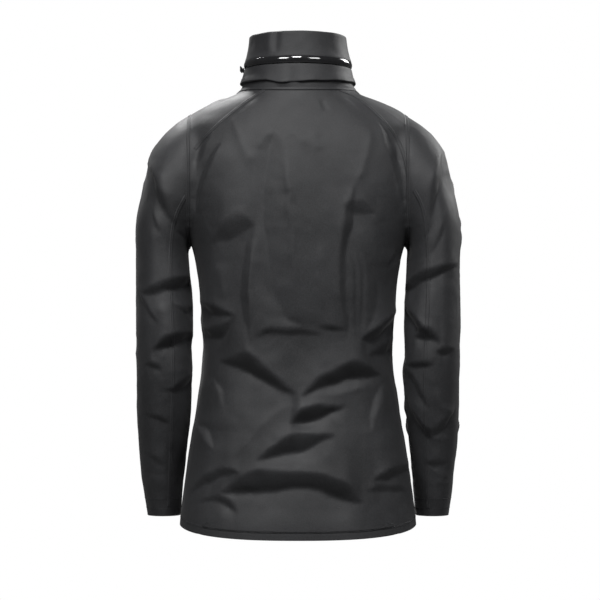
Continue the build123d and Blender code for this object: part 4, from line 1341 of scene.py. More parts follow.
# the sleeves hang clear of the body
line = np.interp(-V[:, 2], [262, 300, 420, 500, 570, 640, 700, 760], [178, 172, 164.5, 170, 179.5, 190, 195, 198])
down = smooth((-V[:, 2] - 268) / 20)
x = np.abs(V[:, 0])
only_body, only_sleeve = body_v & ~sleeve_v, sleeve_v & ~body_v
x = np.where(only_body, x - down * np.maximum(x - (line - 2.4), 0), x)
x = np.where(only_sleeve, x + down * np.maximum((line + 2.0) - x, 0), x)
V[:, 0] = np.sign(V[:, 0]) * x
set_coords(fine, V)
N = vertex_normals(fine)
OPEN = border_keys(np.ones(len(F), bool), F, len(V))
body = sheet("body_skin", PART == 0, V, N, F, OPEN, [SHELL, LINING])
ride_shell(body, "shell_fabric", "back_panel", *[f"{n}_{s}" for s in SIDES for n in ("front_panel", "shoulder_saddle")])
for side, top, low in (("left", 1, 3), ("right", 2, 4)):
    o = sheet(f"sleeve_top_{side}", PART == top, V, N, F, OPEN, [SHELL, LINING])
    on_sleeve_top(o, side, "shell_fabric", f"sleeve_head_{side}", f"upper_sleeve_outer_{side}", f"upper_sleeve_under_{side}")
    o = sheet(f"sleeve_low_{side}", PART == low, V, N, F, OPEN, [SHELL, LINING])
    on_sleeve_low(o, side, "shell_fabric", f"forearm_outer_{side}", f"forearm_under_{side}", f"elbow_gusset_{side}")

TREE_BODY = tree_of(V, F[PART == 0])
TREE_SLEEVE = {"left": tree_of(V, F[(PART == 1) | (PART == 3)]), "right": tree_of(V, F[(PART == 2) | (PART == 4)])}
TREE_ALL = tree_of(V, F)


# facings inside the hem and the cuffs, and the pocket bags
def facing(name, keep, level, height, outer, thick, mats):
    keep = keep & (level[F].min(1) < height - 2)
    V2 = V.copy()
    keys = border_keys(keep, F, len(V))
    edge_v = np.unique(np.concatenate([keys // len(V), keys % len(V)]))
    edge_v = edge_v[level[edge_v] > height * 0.5]
    V2[edge_v, 2] += height - level[edge_v]
    return sheet(name, keep, V2, N, F, keys, mats, outer, thick)


HEM_LEVEL = V[:, 2] - (HEM_Z + HEM_SLOPE * V[:, 1])
ride_shell(facing("hem_band", PART == 0, HEM_LEVEL, 32.0, -2.0, 1.0, [LINING, SHELL]), "shell_fabric", "hem_facing")
for side, low in (("left", 3), ("right", 4)):
    o = facing(f"cuff_band_{side}", PART == low, V[:, 2] - CUFF_Z, 30.0, -1.9, 0.9, [LINING, SHELL])
    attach(o, f"forearm_{side}")
    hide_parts(f"cuff_facing_{side}")
    s = 1 if side == "left" else -1
    c = V[F].mean(1)
    keep = (PART == 0) & (c[:, 1] < -20) & (c[:, 0] * s > 34) & (c[:, 0] * s < 150) & (c[:, 2] > -655) & (c[:, 2] < -456)
    bag = sheet(f"pocket_bag_{side}", keep, V, N, F, border_keys(keep, F, len(V)), [LINING, LINING], -7.5, 1.4)
    ride_shell(bag, "lining_fabric", f"hand_pocket_bag_{side}")

# ---------------------------------------------------------------------------
# Collar
# ---------------------------------------------------------------------------
RING_Z = [-6.0, 8.0, 16.0, 30.0, 42.0, 54.0, 62.0, 82.0, 97.0]
RING_X = [100.0, 92.5, 91.2, 89.6, 88.2, 87.0, 85.2, 81.6, 79.8]
RING_Y = [93.0, 91.0, 90.6, 89.3, 88.2, 87.4, 86.4, 84.2, 83.0]


def oval_radius(a, z):
    """Radius of the collar's outer face at an angle from the centre back towards +X."""
    rx, back = pchip(RING_Z, RING_X, z), pchip(RING_Z, RING_Y, z)
    ahead = 2.4 - front_y(z)
    mid, half = (back - ahead) / 2, (back + ahead) / 2
    s, c = np.sin(a) / rx, np.cos(a) / half
    m = mid / half
    # (R s)^2 + (R c - m)^2 = 1
    k = s * s + c * c
    return (c * m + np.sqrt(np.maximum((c * m) ** 2 - k * (m * m - 1), 0))) / k


def ring_sheet(name, outer, inner, material, inner_material, lo=None, hi=None, cols=300):
    """A sheet round the neck. outer and inner list functions of the angle giving height
    and radius, from one edge of the sheet to the other; the ends close on themselves."""
    ends = 9.5
    rows_z, rows_r, rows_a = [], [], []
    for fn in list(outer) + list(inner)[::-1]:
        t = np.linspace(-1, 1, cols)
        if lo is None:
            limit = math.pi - ends / 92.0
            a = t * limit
        else:
            a = lo + (hi - lo) * (t + 1) / 2
        z, r = fn(a)
        if lo is None:
            limit = math.pi - np.arcsin(ends / r[-1])
            a = t * limit
            z, r = fn(a)
        rows_z.append(np.broadcast_to(z, (cols,)))
        rows_r.append(np.broadcast_to(r, (cols,)))
        rows_a.append(a)
    z, r, a = np.array(rows_z), np.array(rows_r), np.array(rows_a)
    z, r = z.copy(), r.copy()
    for j in (0, cols - 1):
        z[:, j], r[:, j] = (z[:, j] + z[::-1, j]) / 2, (r[:, j] + r[::-1, j]) / 2
    p = np.stack([r * np.sin(a), r * np.cos(a), z], 2)
    k = len(p)
    v = p.reshape(-1, 3)
    f = []
    for i in range(k):
        n = (i + 1) % k
        for j in range(cols - 1):
            f.append((i * cols + j, i * cols + j + 1, n * cols + j + 1, n * cols + j))
    f = np.array(f)
    half = len(outer)
    index = np.where(np.arange(k) < half, 0, 1).repeat(cols - 1)
    # facing outwards: compare the outer rows with the direction from the axis
    q = v[f[: (half - 1) * (cols - 1)]]
    fn = np.cross(q[:, 2] - q[:, 0], q[:, 3] - q[:, 1])
    c = q.mean(1)
    c[:, 2] = 0
    if (fn * c).sum() < 0:
        f = f[:, ::-1]
    return mesh_object(name, v, f, [material, inner_material], index)


def angle_bump(a, deg, width):
    d = (np.degrees(a) - deg + 180) % 360 - 180
    return np.exp(-((d / width) ** 2))


def ring_noise(a, z, scale, seed):
    z = np.broadcast_to(z, a.shape)
    return smooth_noise(np.stack([88 * np.sin(a), 88 * np.cos(a), z], 1), scale, seed)


def overhang(a):
    d = np.abs(np.degrees(a))
    o = 1 - smooth((d - 118) / 34)
    return o * (1 - 0.80 * angle_bump(a, 4, 6.5)) * (1 - 0.30 * angle_bump(a, 24, 9))


def fold_level(a):
    return (
        15.0 + 4.6 * np.sin(a) ** 2 - 3.2 * angle_bump(a, 17, 11) + 1.2 * angle_bump(a, 33, 8)
        - 1.5 * angle_bump(a, -3, 6) + 0.7 * ring_noise(a, 0, 26, 71)
    )




def skin_radius(a, z):
    """Radius of the skin round the neck at a height, found by looking in from outside."""
    out = np.zeros(len(a))
    last = 100.0
    for i, t in enumerate(a):
        zz = float(z[i]) if np.ndim(z) else float(z)
        d = Vector((math.sin(t), math.cos(t), 0))
        hit = TREE_BODY.ray_cast(d * 190 + Vector((0, 0, zz)), -d)
        last = math.hypot(hit[0].x, hit[0].y) if hit[0] is not None else last
        out[i] = last
    return smooth_line(out[:, None], 12)[:, 0]


def foot_row(level, base, over, dz=0.0, do=0.0):
    """level: fixed height, or None for a height measured from the fold edge."""

    def fn(a):
        o = overhang(a)
        if level is None:
            z = fold_level(a) + dz + do * o
        else:
            z = np.full(a.shape, float(level))
        r = oval_radius(a, z) + base + over * o
        r = r + 0.7 * ring_noise(a, z, 22, 90) * smooth((40 - z) / 12)
        return z, r

    return fn


def seam_row(z0, lift):
    def fn(a):
        z = z0 + 6.5 * np.sin(a) ** 2 * (0.5 + 0.5 * smooth((100 - np.abs(np.degrees(a))) / 30))
        return z, skin_radius(a, z) + lift

    return fn


outer = [
    foot_row(42.0, -0.9, 0), foot_row(42.5, -0.1, 0), foot_row(41.9, 0.55, 0),
    foot_row(40.4, 0.8, 0.0), foot_row(37.0, 0.85, 0.3), foot_row(32.0, 0.9, 1.0),
    foot_row(27.5, 0.9, 1.9), foot_row(None, 0.9, 2.9, 7.0), foot_row(None, 0.9, 3.7, 4.0),
    foot_row(None, 0.9, 4.5, 1.6), foot_row(None, 0.9, 4.7, 0.4), foot_row(None, 0.85, 4.2, -0.2, -0.5),
    foot_row(None, 0.8, 2.8, -0.5, -0.7), foot_row(None, 0.7, 1.0, -1.0, -0.2), foot_row(None, 0.6, 0.1, -3.0),
    foot_row(None, 0.9, 0.5, -5.5),
    seam_row(4.6, 1.2), seam_row(2.4, 1.3), seam_row(0.2, 1.35), seam_row(-0.8, 1.2), seam_row(-1.2, 0.2),
]
inner = [
    foot_row(41.6, -1.3, 0), foot_row(41.2, -1.2, 0), foot_row(40.8, -0.9, 0),
    foot_row(39.6, -0.7, 0.0), foot_row(36.6, -0.6, 0.3), foot_row(32.0, -0.5, 1.0),
    foot_row(27.5, -0.5, 1.8), foot_row(None, -0.5, 2.6, 7.0), foot_row(None, -0.5, 3.0, 4.4),
    foot_row(None, -0.5, 3.2, 2.8), foot_row(None, -0.5, 3.0, 2.0), foot_row(None, -0.5, 2.4, 1.5),
    foot_row(None, -0.6, 1.2, 1.0), foot_row(None, -0.7, 0.0, 0.0), foot_row(None, -0.8, -0.8, -2.2),
    foot_row(None, -0.7, -0.6, -5.0),
    seam_row(4.8, -0.4), seam_row(2.5, -0.5), seam_row(0.6, -0.6), seam_row(-0.2, -0.8), seam_row(-0.8, -0.9),
]
foot = ring_sheet("collar_foot", outer, inner, COLLAR, LINING)
ride_shell(foot, "shell_fabric", "collar_lower_band")


def back_share(a):
    return 1 - smooth((np.abs(np.degrees(a)) - 112) / 38)


def stand_row(z0, inset, deep=0.0, top=None):
    def fn(a):
        if top is None:
            z = np.full(a.shape, float(z0))
        else:
            d = np.abs(np.degrees(a))
            z = 95.6 - 3.5 * smooth((d - 150) / 26) + 0.6 * ring_noise(a, 95, 40, 33) + top
        r = oval_radius(a, z) - inset - deep * back_share(a)
        w = smooth((z - 57) / 14)
        dent = angle_bump(a, 25.0 - 0.0, 4.5) * 1.7 + angle_bump(a, -38, 6) * 0.7
        dent = dent - angle_bump(a, 33, 5) * 0.8 - angle_bump(a, 15, 5) * 0.6
        r = r - w * dent + (0.35 + 0.65 * w) * 0.9 * ring_noise(a, z, 28, 44) * (0.3 + 0.7 * back_share(a))
        return z, r

    return fn


outer = [
    stand_row(54.6, 1.0), stand_row(54.0, 0.5), stand_row(53.7, -0.3), stand_row(54.1, -0.9), stand_row(55.4, -1.1),
    stand_row(58.0, -0.9), stand_row(62.0, -0.5), stand_row(66.0, -0.3), stand_row(70.0, -0.2), stand_row(75.0, -0.1),
    stand_row(80.0, 0), stand_row(85.0, 0), stand_row(89.0, 0), stand_row(0, 0.0, 0, -4.5), stand_row(0, 0.0, 0, -2.0),
    stand_row(0, 0.35, 0, -0.7), stand_row(0, 1.2, 0, -0.05), stand_row(0, 2.3, 0, -0.1), stand_row(0, 3.2, 0, -0.8),
    stand_row(0, 3.6, 0.2, -2.2), stand_row(0, 3.8, 1.2, -5.5), stand_row(84, 3.9, 3.6), stand_row(77, 4.0, 6.0),
    stand_row(68, 4.0, 8.4), stand_row(56, 4.0, 10.0), stand_row(44, 4.0, 10.6), stand_row(32, 4.0, 10.8),
    stand_row(20, 4.0, 10.8), stand_row(12, 4.0, 10.6), stand_row(5.5, 4.0, 10.2),
]
inner = [
    stand_row(55.4, 1.5), stand_row(56.0, 1.5), stand_row(56.6, 1.4), stand_row(57.2, 1.3), stand_row(58.0, 1.3),
    stand_row(60.0, 1.3), stand_row(63.0, 1.3), stand_row(67.0, 1.3), stand_row(71.0, 1.3), stand_row(75.5, 1.3),
    stand_row(80.0, 1.3), stand_row(84.0, 1.3), stand_row(86.5, 1.35), stand_row(88.0, 1.4), stand_row(89.0, 1.45),
    stand_row(89.8, 1.55), stand_row(90.2, 1.65), stand_row(90.0, 1.8), stand_row(89.2, 1.95),
    stand_row(88.0, 2.1), stand_row(86.4, 2.4, 0.7), stand_row(82.5, 2.6, 3.0), stand_row(76.4, 2.7, 5.6),
    stand_row(68, 2.7, 8.2), stand_row(56, 2.7, 9.9), stand_row(44, 2.7, 10.5), stand_row(32, 2.7, 10.7),
    stand_row(20, 2.7, 10.7), stand_row(12.4, 2.7, 10.5), stand_row(6.2, 2.7, 10.1),
]
stand = ring_sheet("collar_stand", outer, inner, COLLAR, SHELL)
ride_shell(stand, "shell_fabric", "collar_upper_band", "collar_lining")
lining_faces = np.zeros(len(stand.data.polygons), np.int32)
lining_faces[19 * 299: 31 * 299] = 1
stand.data.materials[1] = LINING
stand.data.polygons.foreach_set("material_index", lining_faces)


def tape_row(z, r):
    return lambda a: (np.full(a.shape, float(z)), np.full(a.shape, float(r)) + 0.12 * ring_noise(a, z, 14, 12))


half = math.radians(104)
zs = np.linspace(43.4, 54.8, 10)
o = ring_sheet(
    "collar_zip_laminate", [tape_row(z, 87.5 + 1.75 * (1 - ((z - 49.1) / 5.7) ** 2)) for z in zs],
    [tape_row(z, 86.6) for z in zs], GLOSSY, TAPE, -half, half, 260,
)
ride_shell(o, "laminated_tape", "collar_zip_tape_upper")
zs = np.linspace(34.0, 42.1, 5)
o = ring_sheet(
    "collar_zip_lower_tape", [tape_row(z, 87.4) for z in zs], [tape_row(z, 86.6) for z in zs], GLOSSY, TAPE, -half, half, 260,
)
ride_shell(o, "laminated_tape", "collar_zip_tape_lower")
for side, lo, hi in (("left", math.radians(101), math.pi - 0.108), ("right", -math.pi + 0.108, -math.radians(101))):
    def patch(z, d):
        return lambda a: (np.full(a.shape, float(z)), oval_radius(a, np.full(a.shape, float(z))) + d)
    zs = (40.5, 43, 46, 49, 52, 55.5)
    o = ring_sheet(f"collar_front_patch_{side}", [patch(z, 0.25) for z in zs], [patch(z, -1.1) for z in zs], COLLAR, LINING, lo, hi, 60)
    ride_shell(o, "shell_fabric", f"collar_front_panel_{side}")

# hood rolled up inside the collar
def hood_row(t):
    def fn(a):
        n = 0.9 * ring_noise(a, 20 * math.cos(t), 12, 55)
        z = 19.0 + (10.0 + n) * math.sin(t)
        return np.full(a.shape, 1.0) * z, 83.2 + (2.6 + 0.5 * n) * math.cos(t) + 0 * a
    return fn


ts = np.linspace(-math.pi / 2, math.pi / 2, 9)
o = ring_sheet("rolled_hood", [hood_row(t) for t in ts], [hood_row(math.pi - t) for t in ts], SHELL, SHELL, -math.radians(76), math.radians(76), 120)
ride_shell(o, "shell_fabric", "stowed_hood")

# chin guard inside the front of the collar on the left
def chin_row(z, d):
    def fn(a):
        zz = np.full(a.shape, float(z))
        return zz, oval_radius(a, zz) - 4.0 - 0.9 * ring_noise(a, zz, 28, 44) * 0 - d
    return fn


zs = np.linspace(56, 88, 7)
o = ring_sheet("chin_patch", [chin_row(z, 2.1 if z in (zs[0], zs[-1]) else 2.6) for z in zs[::-1]], [chin_row(z, 0.9) for z in zs[::-1]], LINING, LINING,
               math.pi - math.radians(42), math.pi - math.radians(13), 40)
ride_shell(o, "lining_fabric", "chin_guard")


# hanging loop at the inside of the neck
def swept(name, path, across, width, thick, material):
    """A flat strap along a path; across gives its width direction at each point."""
    path = rounded(path, 3)
    across = np.asarray(across, float) / np.linalg.norm(across)
    tan = np.gradient(path, axis=0)
    tan /= np.linalg.norm(tan, axis=1)[:, None]
    up = np.cross(tan, across)
    up /= np.linalg.norm(up, axis=1)[:, None]
    prof = [(-0.5, 0), (-0.42, 0.5), (0, 0.6), (0.42, 0.5), (0.5, 0), (0.42, -0.5), (0, -0.6), (-0.42, -0.5)]
    v = np.stack([path + across * (u * width) + up * (w * thick) for u, w in prof], 1)
    k = len(prof)
    v = v.reshape(-1, 3)
    faces = [tuple(f) for f in grid_faces(len(path), k, True)]
    faces += [tuple(range(k)), tuple(reversed(range((len(path) - 1) * k, len(path) * k)))]
    return make_object(name, v, faces, material)


o = swept("neck_loop", [(-31, 73.0, 16), (-30, 72.0, 6), (-25, 70.5, -6), (-12, 69.5, -17), (0, 69.2, -20), (12, 69.5, -17), (25, 70.5, -6), (30, 72.0, 6), (31, 73.0, 16)],
          (0.0, 0.25, 0.97), 6.5, 1.3, CORD)
ride_shell(o, "lining_fabric", "hanger_loop")

# storm flap behind the main zip
rows = []
zs = np.linspace(-670, 58, 150)
xs = np.linspace(-17, 17, 13)
for sgn in (1, -1):
    for z in zs:
        wave = 0.5 * math.sin(z * 0.045) + 0.3 * math.sin(z * 0.11 + 1)
        a = math.asin((z - FRONT_ZC) / FRONT_R)
        for x in xs:
            edge = 1 - (abs(x) / 17) ** 6
            r = FRONT_R - 8.4 + (wave * (x / 17) ** 2) + sgn * 0.55 * edge
            rows.append((x, FRONT_YC - r * math.cos(a), FRONT_ZC + r * math.sin(a)))
m, k = len(zs), len(xs)
f = grid_faces(m, k, False)
f = [tuple(reversed(q)) for q in f] + [tuple(i + m * k for i in q) for q in f]
o = make_object("storm_flap_soft", np.array(rows), f, SHELL)
ride_shell(o, "shell_fabric", "storm_flap")

# zip teeth, each a small block, on a narrow core that closes the gap between the tapes
def teeth(name, frames, width, core_depth):
    verts, faces = [], []

    def block(c, a, b, o, la, lb, lo):
        base = len(verts)
        for sa in (-1, 1):
            for sb in (-1, 1):
                for so in (-1, 1):
                    shrink = 0.7 if so > 0 else 1.0
                    verts.append(c + a * sa * la * shrink + b * sb * lb + o * so * lo)
        for f in ((0, 1, 3, 2), (4, 6, 7, 5), (0, 4, 5, 1), (2, 3, 7, 6), (0, 2, 6, 4), (1, 5, 7, 3)):
            faces.append(tuple(base + i for i in f))

    for i, (c, along, across, out) in enumerate(frames):
        shift = across * (0.35 if i % 2 else -0.35)
        block(c + shift, along, across, out, 0.42, width / 2, 0.45)
    step = 12
    for i in range(0, len(frames) - 1, step):
        c0, c1 = frames[i], frames[min(i + step, len(frames) - 1)]
        mid = (c0[0] + c1[0]) / 2
        block(mid - c0[3] * core_depth, c0[1], c0[2], c0[3], np.linalg.norm(c1[0] - c0[0]) / 2 / 0.7, 1.7, 0.5)
    return make_object(name, np.array(verts), faces, COIL, smooth_shade=False)


frames = []
for z in np.arange(-664.0, 85.0, 1.6):
    a = math.asin((z - FRONT_ZC) / FRONT_R)
    out = np.array([0, -math.cos(a), math.sin(a)])
    c = np.array([0, FRONT_YC, FRONT_ZC]) + out * (FRONT_R - 1.7)
    frames.append((c, np.array([0, math.sin(a), math.cos(a)]), np.array([1.0, 0, 0]), out))
o = teeth("main_zip_teeth", frames, 4.6, 0.9)
ride_shell(o, "zip_coil", "main_zip_coil_left", "main_zip_coil_right")
for side in SIDES:
    c, x, up, out, half = POCKET[side]
    frames = [(c + up * t - out * 1.3, up, x, out) for t in np.arange(4 - half, half - 4, 1.5)]
    o = teeth(f"pocket_zip_teeth_{side}", frames, 4.2, 0.9)
    ride_shell(o, "zip_coil", f"pocket_zip_coil_{side}")

# ---------------------------------------------------------------------------
# Seams
# ---------------------------------------------------------------------------
saddle_r = from_view([(340, 90), (350, 94), (360, 99), (370, 107), (380, 116), (390, 128), (398, 140), (403, 152), (407, 166), (409, 190), (410, 216)], TREE_BODY)
saddle_l = from_view([(265, 90), (252, 97), (240, 106), (226, 117), (214, 128), (204, 138), (195, 149)], TREE_BODY)


def mirrored_front(points, tree):
    """Points on the front of the skin from front-view places."""
    out = []
    for u, v in resample(rounded(points), 3.0 / PER):
        p = Vector(((u - 300) * PER, -400, Z_CAM - (v - 300) * PER))
        hit = tree.ray_cast(p, Vector((0, 1, 0)))
        if hit[0] is not None:
            out.append(hit[0])
    return np.array(out)


front_l = mirrored_front([(345, 99), (352, 112), (362, 132), (376, 160), (392, 190), (403, 214)], TREE_BODY)
front_r = mirrored_front([(255, 99), (248, 112), (238, 132), (224, 160), (208, 190), (197, 214)], TREE_BODY)
pieces_of = []
for name, path in (("saddle_seam_back_right", saddle_r), ("saddle_seam_back_left", saddle_l), ("yoke_seam_front_left", front_l), ("yoke_seam_front_right", front_r)):
    if len(path) > 4:
        pieces_of.append(ribbon(name, smooth_line(path, 4), TREE_BODY, 6.5, 0.7, SEAM))


def loop_between(p1, p2):
    """The closed line of points shared by two parts of the skin, in order."""
    a, b = np.zeros(len(V), bool), np.zeros(len(V), bool)
    a[F[PART == p1]] = True
    b[F[PART == p2]] = True
    ids = np.where(a & b)[0]
    p = V[ids]
    c = p.mean(0)
    t = np.arctan2(p[:, 2] - c[2], p[:, 1] - c[1])
    p = p[np.argsort(t)]
    return p


for side, top in (("left", 1), ("right", 2)):
    loop = loop_between(0, top)
    loop = resample(np.concatenate([loop, loop[:1]]), 3.2)[:-1]
    loop = smooth_line(loop, 6, True)
    pieces_of.append(ribbon(f"armhole_seam_{side}", loop, TREE_ALL, 6.5, 0.8, SEAM, closed=True))
o = joined("shell_seams", pieces_of)
ride_shell(o, "shell_fabric")


def ring_path(tree, cx, cy, level, tilt, x_tilt=0.0, r=300.0, count=400):
    """A closed line round a tube of cloth at a height level + tilt * y."""
    out = []
    for i in range(count):
        t = 2 * math.pi * i / count
        d = Vector((math.cos(t), math.sin(t), 0))
        z = level + tilt * cy
        for _ in range(3):
            start = Vector((cx, cy, z)) + d * r
            hit = tree.ray_cast(start, -d)
            if hit[0] is None:
                break
            z = level + tilt * hit[0].y
        if hit[0] is not None:
            out.append(hit[0])
    return smooth_line(np.array(out), 3, True)


def open_at_front(path, gap):
    """Cuts a closed line where it crosses the front opening."""
    ok = (np.abs(path[:, 0]) > gap) | (path[:, 1] > 0)
    k = int(np.argmin(ok))
    p, q = np.roll(path, -k, axis=0), np.roll(ok, -k)
    return p[q]


hem_line = open_at_front(ring_path(TREE_BODY, 0, 5, HEM_Z + 14, HEM_SLOPE), 13)
hem_low = open_at_front(ring_path(TREE_BODY, 0, 5, HEM_Z + 12.2, HEM_SLOPE), 13)
threads = [stitches("t1", hem_line, TREE_BODY, (0.0,), THREAD)]
marks = [ribbon("hem_crease", hem_low, TREE_BODY, 3.2, 0.35, SEAM, groove=1.3)]
# stitching beside the main zip and round the pocket zips
for s in (1, -1):
    for off in (14.0,):
        zs = np.arange(-672, -6, 3.0)
        pts = []
        for z in zs:
            hit = TREE_BODY.ray_cast(Vector((s * off, -400, z)), Vector((0, 1, 0)))
            if hit[0] is not None:
                pts.append(hit[0])
        threads.append(stitches("t", smooth_line(np.array(pts), 2), TREE_BODY, (0.0,), THREAD))
for c, x, up, out, half in POCKET.values():
    w, h = SLOT_HALF + 5.0, half + 4.0
    box = [(-w, -h), (w, -h), (w, h), (-w, h), (-w, -h)]
    pts = []
    for lx, ly in resample(np.array(box), 3.0):
        start = Vector(c + x * lx + up * ly + out * 60)
        hit = TREE_BODY.ray_cast(start, Vector(-out))
        if hit[0] is not None:
            pts.append(hit[0])
    threads.append(stitches("t", np.array(pts), TREE_BODY, (0.0,), THREAD))
o = joined("shell_stitching", threads)
ride_shell(o, "shell_fabric")
o = joined("hem_crease_line", marks)
ride_shell(o, "shell_fabric")

# sleeve seams: down the back of each sleeve, and stitching at the cuffs
SLEEVE_SEAM = {
    "left": [(186, 196), (178, 210), (172, 228), (170, 262), (171, 300), (173, 340), (173, 380), (172, 420), (170, 462), (169, 506)],
    "right": [(414, 190), (422, 204), (426, 222), (429, 262), (428, 300), (426, 340), (425, 380), (426, 420), (427, 462), (428, 508)],
}
for side in SIDES:
    s = 1 if side == "left" else -1
    tree = TREE_SLEEVE[side]
    path = smooth_line(from_view(SLEEVE_SEAM[side], tree), 5)
    path = path[np.argsort(-path[:, 2])]
    cut = path[:, 2] > SLEEVE_CUT
    k = int(cut.sum())
    top, low = path[: k + 1], path[k:]
    o = ribbon(f"sleeve_seam_top_{side}", top, tree, 7.0, 0.75, SEAM)
    on_sleeve_top(o, side, "shell_fabric")
    o = ribbon(f"sleeve_seam_low_{side}", low, tree, 7.0, 0.75, SEAM)
    on_sleeve_low(o, side, "shell_fabric")
    ring = ring_path(tree, s * 222.0, -37.0, CUFF_Z + 13, 0.06, r=90, count=160)
    ring2 = ring_path(tree, s * 222.0, -36.0, CUFF_Z + 29, 0.06, r=90, count=160)
    o = joined(f"cuff_stitching_{side}", [stitches("t", ring, tree, (0.0,), THREAD, True), stitches("t", ring2, tree, (0.0,), THREAD, True)])
    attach(o, f"forearm_{side}")

# cuff tabs: moulded straps lying on the front of each cuff
for side in SIDES:
    s = 1 if side == "left" else -1
    lo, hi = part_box(f"cuff_tab_{side}")
    x0, x1, z0, z1 = lo.x * 1000, hi.x * 1000, lo.z * 1000, hi.z * 1000
    tree = TREE_SLEEVE[side]
    nx, nz = 34, 22
    base, nor = [], []
    for i in range(nx):
        for j in range(nz):
            u, w = i / (nx - 1) * 2 - 1, j / (nz - 1) * 2 - 1
            # rounded corners
            px = (x0 + x1) / 2 + (x1 - x0) / 2 * u * (1 - 0.04 * w**6)
            pz = (z0 + z1) / 2 + (z1 - z0) / 2 * w * (1 - 0.16 * abs(u) ** 9)
            hit = tree.ray_cast(Vector((px, -200, pz)), Vector((0, 1, 0)))
            q = hit[0] if hit[0] is not None else Vector((px, -80, pz))
            base.append(tuple(q))
            edge = min(1.0, min(1 - abs(u), (1 - abs(w)) * (z1 - z0) / (x1 - x0)) / 0.10)
            rib = 0.35 * (0.5 + 0.5 * math.cos(u * 26)) * (1 if abs(u) < 0.8 and abs(w) < 0.7 else 0)
            nor.append(1.5 + 1.5 * math.sqrt(max(0.0, edge * (2 - edge))) * 0.7 + rib)
    base = np.array(base)
    height = np.array(nor)
    grid = base.reshape(nx, nz, 3)
    for _ in range(6):
        grid[1:-1, :, 1] = (grid[:-2, :, 1] + 2 * grid[1:-1, :, 1] + grid[2:, :, 1]) / 4
        grid[:, 1:-1, 1] = (grid[:, :-2, 1] + 2 * grid[:, 1:-1, 1] + grid[:, 2:, 1]) / 4
    base = grid.reshape(-1, 3)
    front, back = base.copy(), base.copy()
    front[:, 1] -= height
    back[:, 1] -= 1.0
    f = np.array(grid_faces(nx, nz, False))
    n = nx * nz
    ring = [i * nz for i in range(nx)] + [(nx - 1) * nz + j for j in range(1, nz)] + [i * nz + nz - 1 for i in range(nx - 2, -1, -1)] + [j for j in range(nz - 2, 0, -1)]
    sides_f = np.array([(a, b, b + n, a + n) for a, b in zip(ring, ring[1:] + ring[:1])])
    faces = np.concatenate([f, f[:, ::-1] + n, sides_f])
    v = np.concatenate([front, back])
    bm = bmesh.new()
    o = mesh_object(f"cuff_tab_soft_{side}", v, faces, [RUBBER], np.zeros(len(faces)))
    bm.from_mesh(o.data)
    bmesh.ops.recalc_face_normals(bm, faces=bm.faces)
    bm.to_mesh(o.data)
    bm.free()
    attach(o, f"cuff_tab_{side}")
    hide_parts(f"cuff_tab_{side}")

# ---------------------------------------------------------------------------
# Finishes of the CAD parts that stay
# ---------------------------------------------------------------------------
FINISH = {
    "main_zip_tape": TAPE, "main_zip_coil": COIL, "main_zip_end_box": COIL, "main_zip_top_stop": COIL,
    "main_zip_slider": METAL, "main_zip_pull": METAL, "pocket_zip_tape": TAPE, "pocket_zip_coil": COIL,
    "pocket_zip_slider": METAL, "pocket_zip_pull": METAL, "collar_zip_slider": METAL, "collar_zip_pull": METAL,
    "hem_drawcord": CORD, "drawcord_anchor": TAPE, "hem_cord_lock": LOCK, "cord_lock_button": LOCK,
}
for name, obj in NODES.items():
    for key, material in FINISH.items():
        if name.startswith(key):
            obj.data.materials.clear()
            obj.data.materials.append(material)

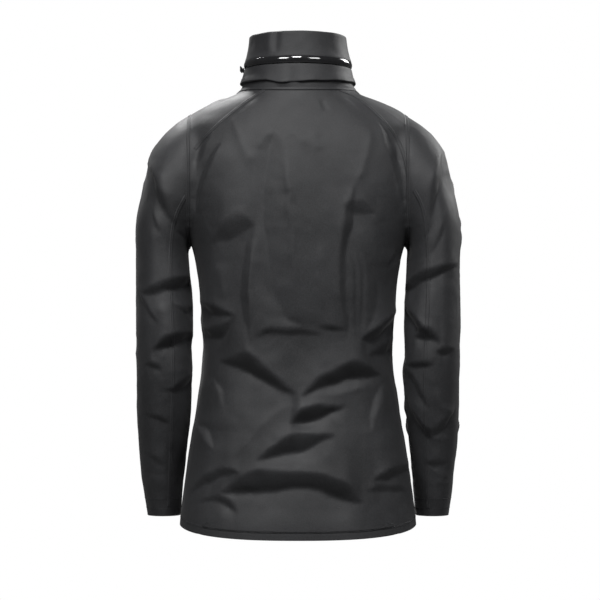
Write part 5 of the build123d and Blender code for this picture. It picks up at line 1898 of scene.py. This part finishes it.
# ---------------------------------------------------------------------------
# Stage, light, camera
# ---------------------------------------------------------------------------
floor_mat = bpy.data.materials.new("floor")
tree, bsdf = nodes_of(floor_mat)
n, l = tree.nodes, tree.links
bsdf.inputs["Base Color"].default_value = (0.12, 0.12, 0.12, 1)
glow = n.new("ShaderNodeEmission")
noise = n.new("ShaderNodeTexNoise")
noise.inputs["Scale"].default_value = 2.0
ramp = n.new("ShaderNodeValToRGB")
ramp.color_ramp.elements[0].color = (0.985, 0.985, 0.985, 1)
ramp.color_ramp.elements[1].color = (0.995, 0.995, 0.995, 1)
l.new(noise.outputs["Fac"], ramp.inputs["Fac"])
l.new(ramp.outputs["Color"], glow.inputs["Color"])
path = n.new("ShaderNodeLightPath")
mix = n.new("ShaderNodeMixShader")
l.new(path.outputs["Is Camera Ray"], mix.inputs[0])
l.new(bsdf.outputs[0], mix.inputs[1])
l.new(glow.outputs[0], mix.inputs[2])
l.new(mix.outputs[0], n["Material Output"].inputs["Surface"])
floor = make_object("floor", [(-4000, -4000, -1600), (4000, -4000, -1600), (4000, 4000, -1600), (-4000, 4000, -1600)], [(0, 1, 2, 3)], floor_mat)
world = bpy.data.worlds.new("studio")
bpy.context.scene.world = world
world.use_nodes = True
wt = world.node_tree
bg = wt.nodes["Background"]
bg.inputs["Color"].default_value = (1, 1, 1, 1)
path = wt.nodes.new("ShaderNodeLightPath")
level = wt.nodes.new("ShaderNodeMapRange")
level.inputs["To Min"].default_value = 0.07
level.inputs["To Max"].default_value = 1.0
wt.links.new(path.outputs["Is Camera Ray"], level.inputs["Value"])
wt.links.new(level.outputs["Result"], bg.inputs["Strength"])
bpy.context.scene.view_settings.view_transform = "Standard"


def area(name, at, target, size, power):
    data = bpy.data.lights.new(name, "AREA")
    data.energy = power
    data.size = size
    obj = link(bpy.data.objects.new(name, data))
    obj.location = at
    obj.rotation_euler = (Vector(target) - Vector(at)).to_track_quat("-Z", "Y").to_euler()
    return obj


area("back_left", (1.6, 2.4, 1.7), (0, 0, -0.25), 1.1, 56)
area("back_right", (-1.8, 2.4, 1.6), (0, 0, -0.25), 1.1, 41)
area("top", (0.1, 2.2, 2.4), (0, 0.05, -0.3), 0.8, 60)
area("front", (0.9, -1.9, 2.4), (0, -0.1, -0.4), 0.9, 115)
area("front_right", (-2.2, -1.8, 1.2), (0, 0, -0.35), 1.2, 45)

camera = bpy.data.cameras.new("camera")
camera.sensor_width = 36
camera.lens = 36 / (2 * (0.3 * PER) / (D_CAM * 0.001))
cam = link(bpy.data.objects.new("camera", camera))
cam.location = (X_CAM * 0.001, D_CAM * 0.001, Z_CAM * 0.001)
cam.rotation_euler = (math.pi / 2, 0, math.pi)
bpy.context.scene.camera = cam
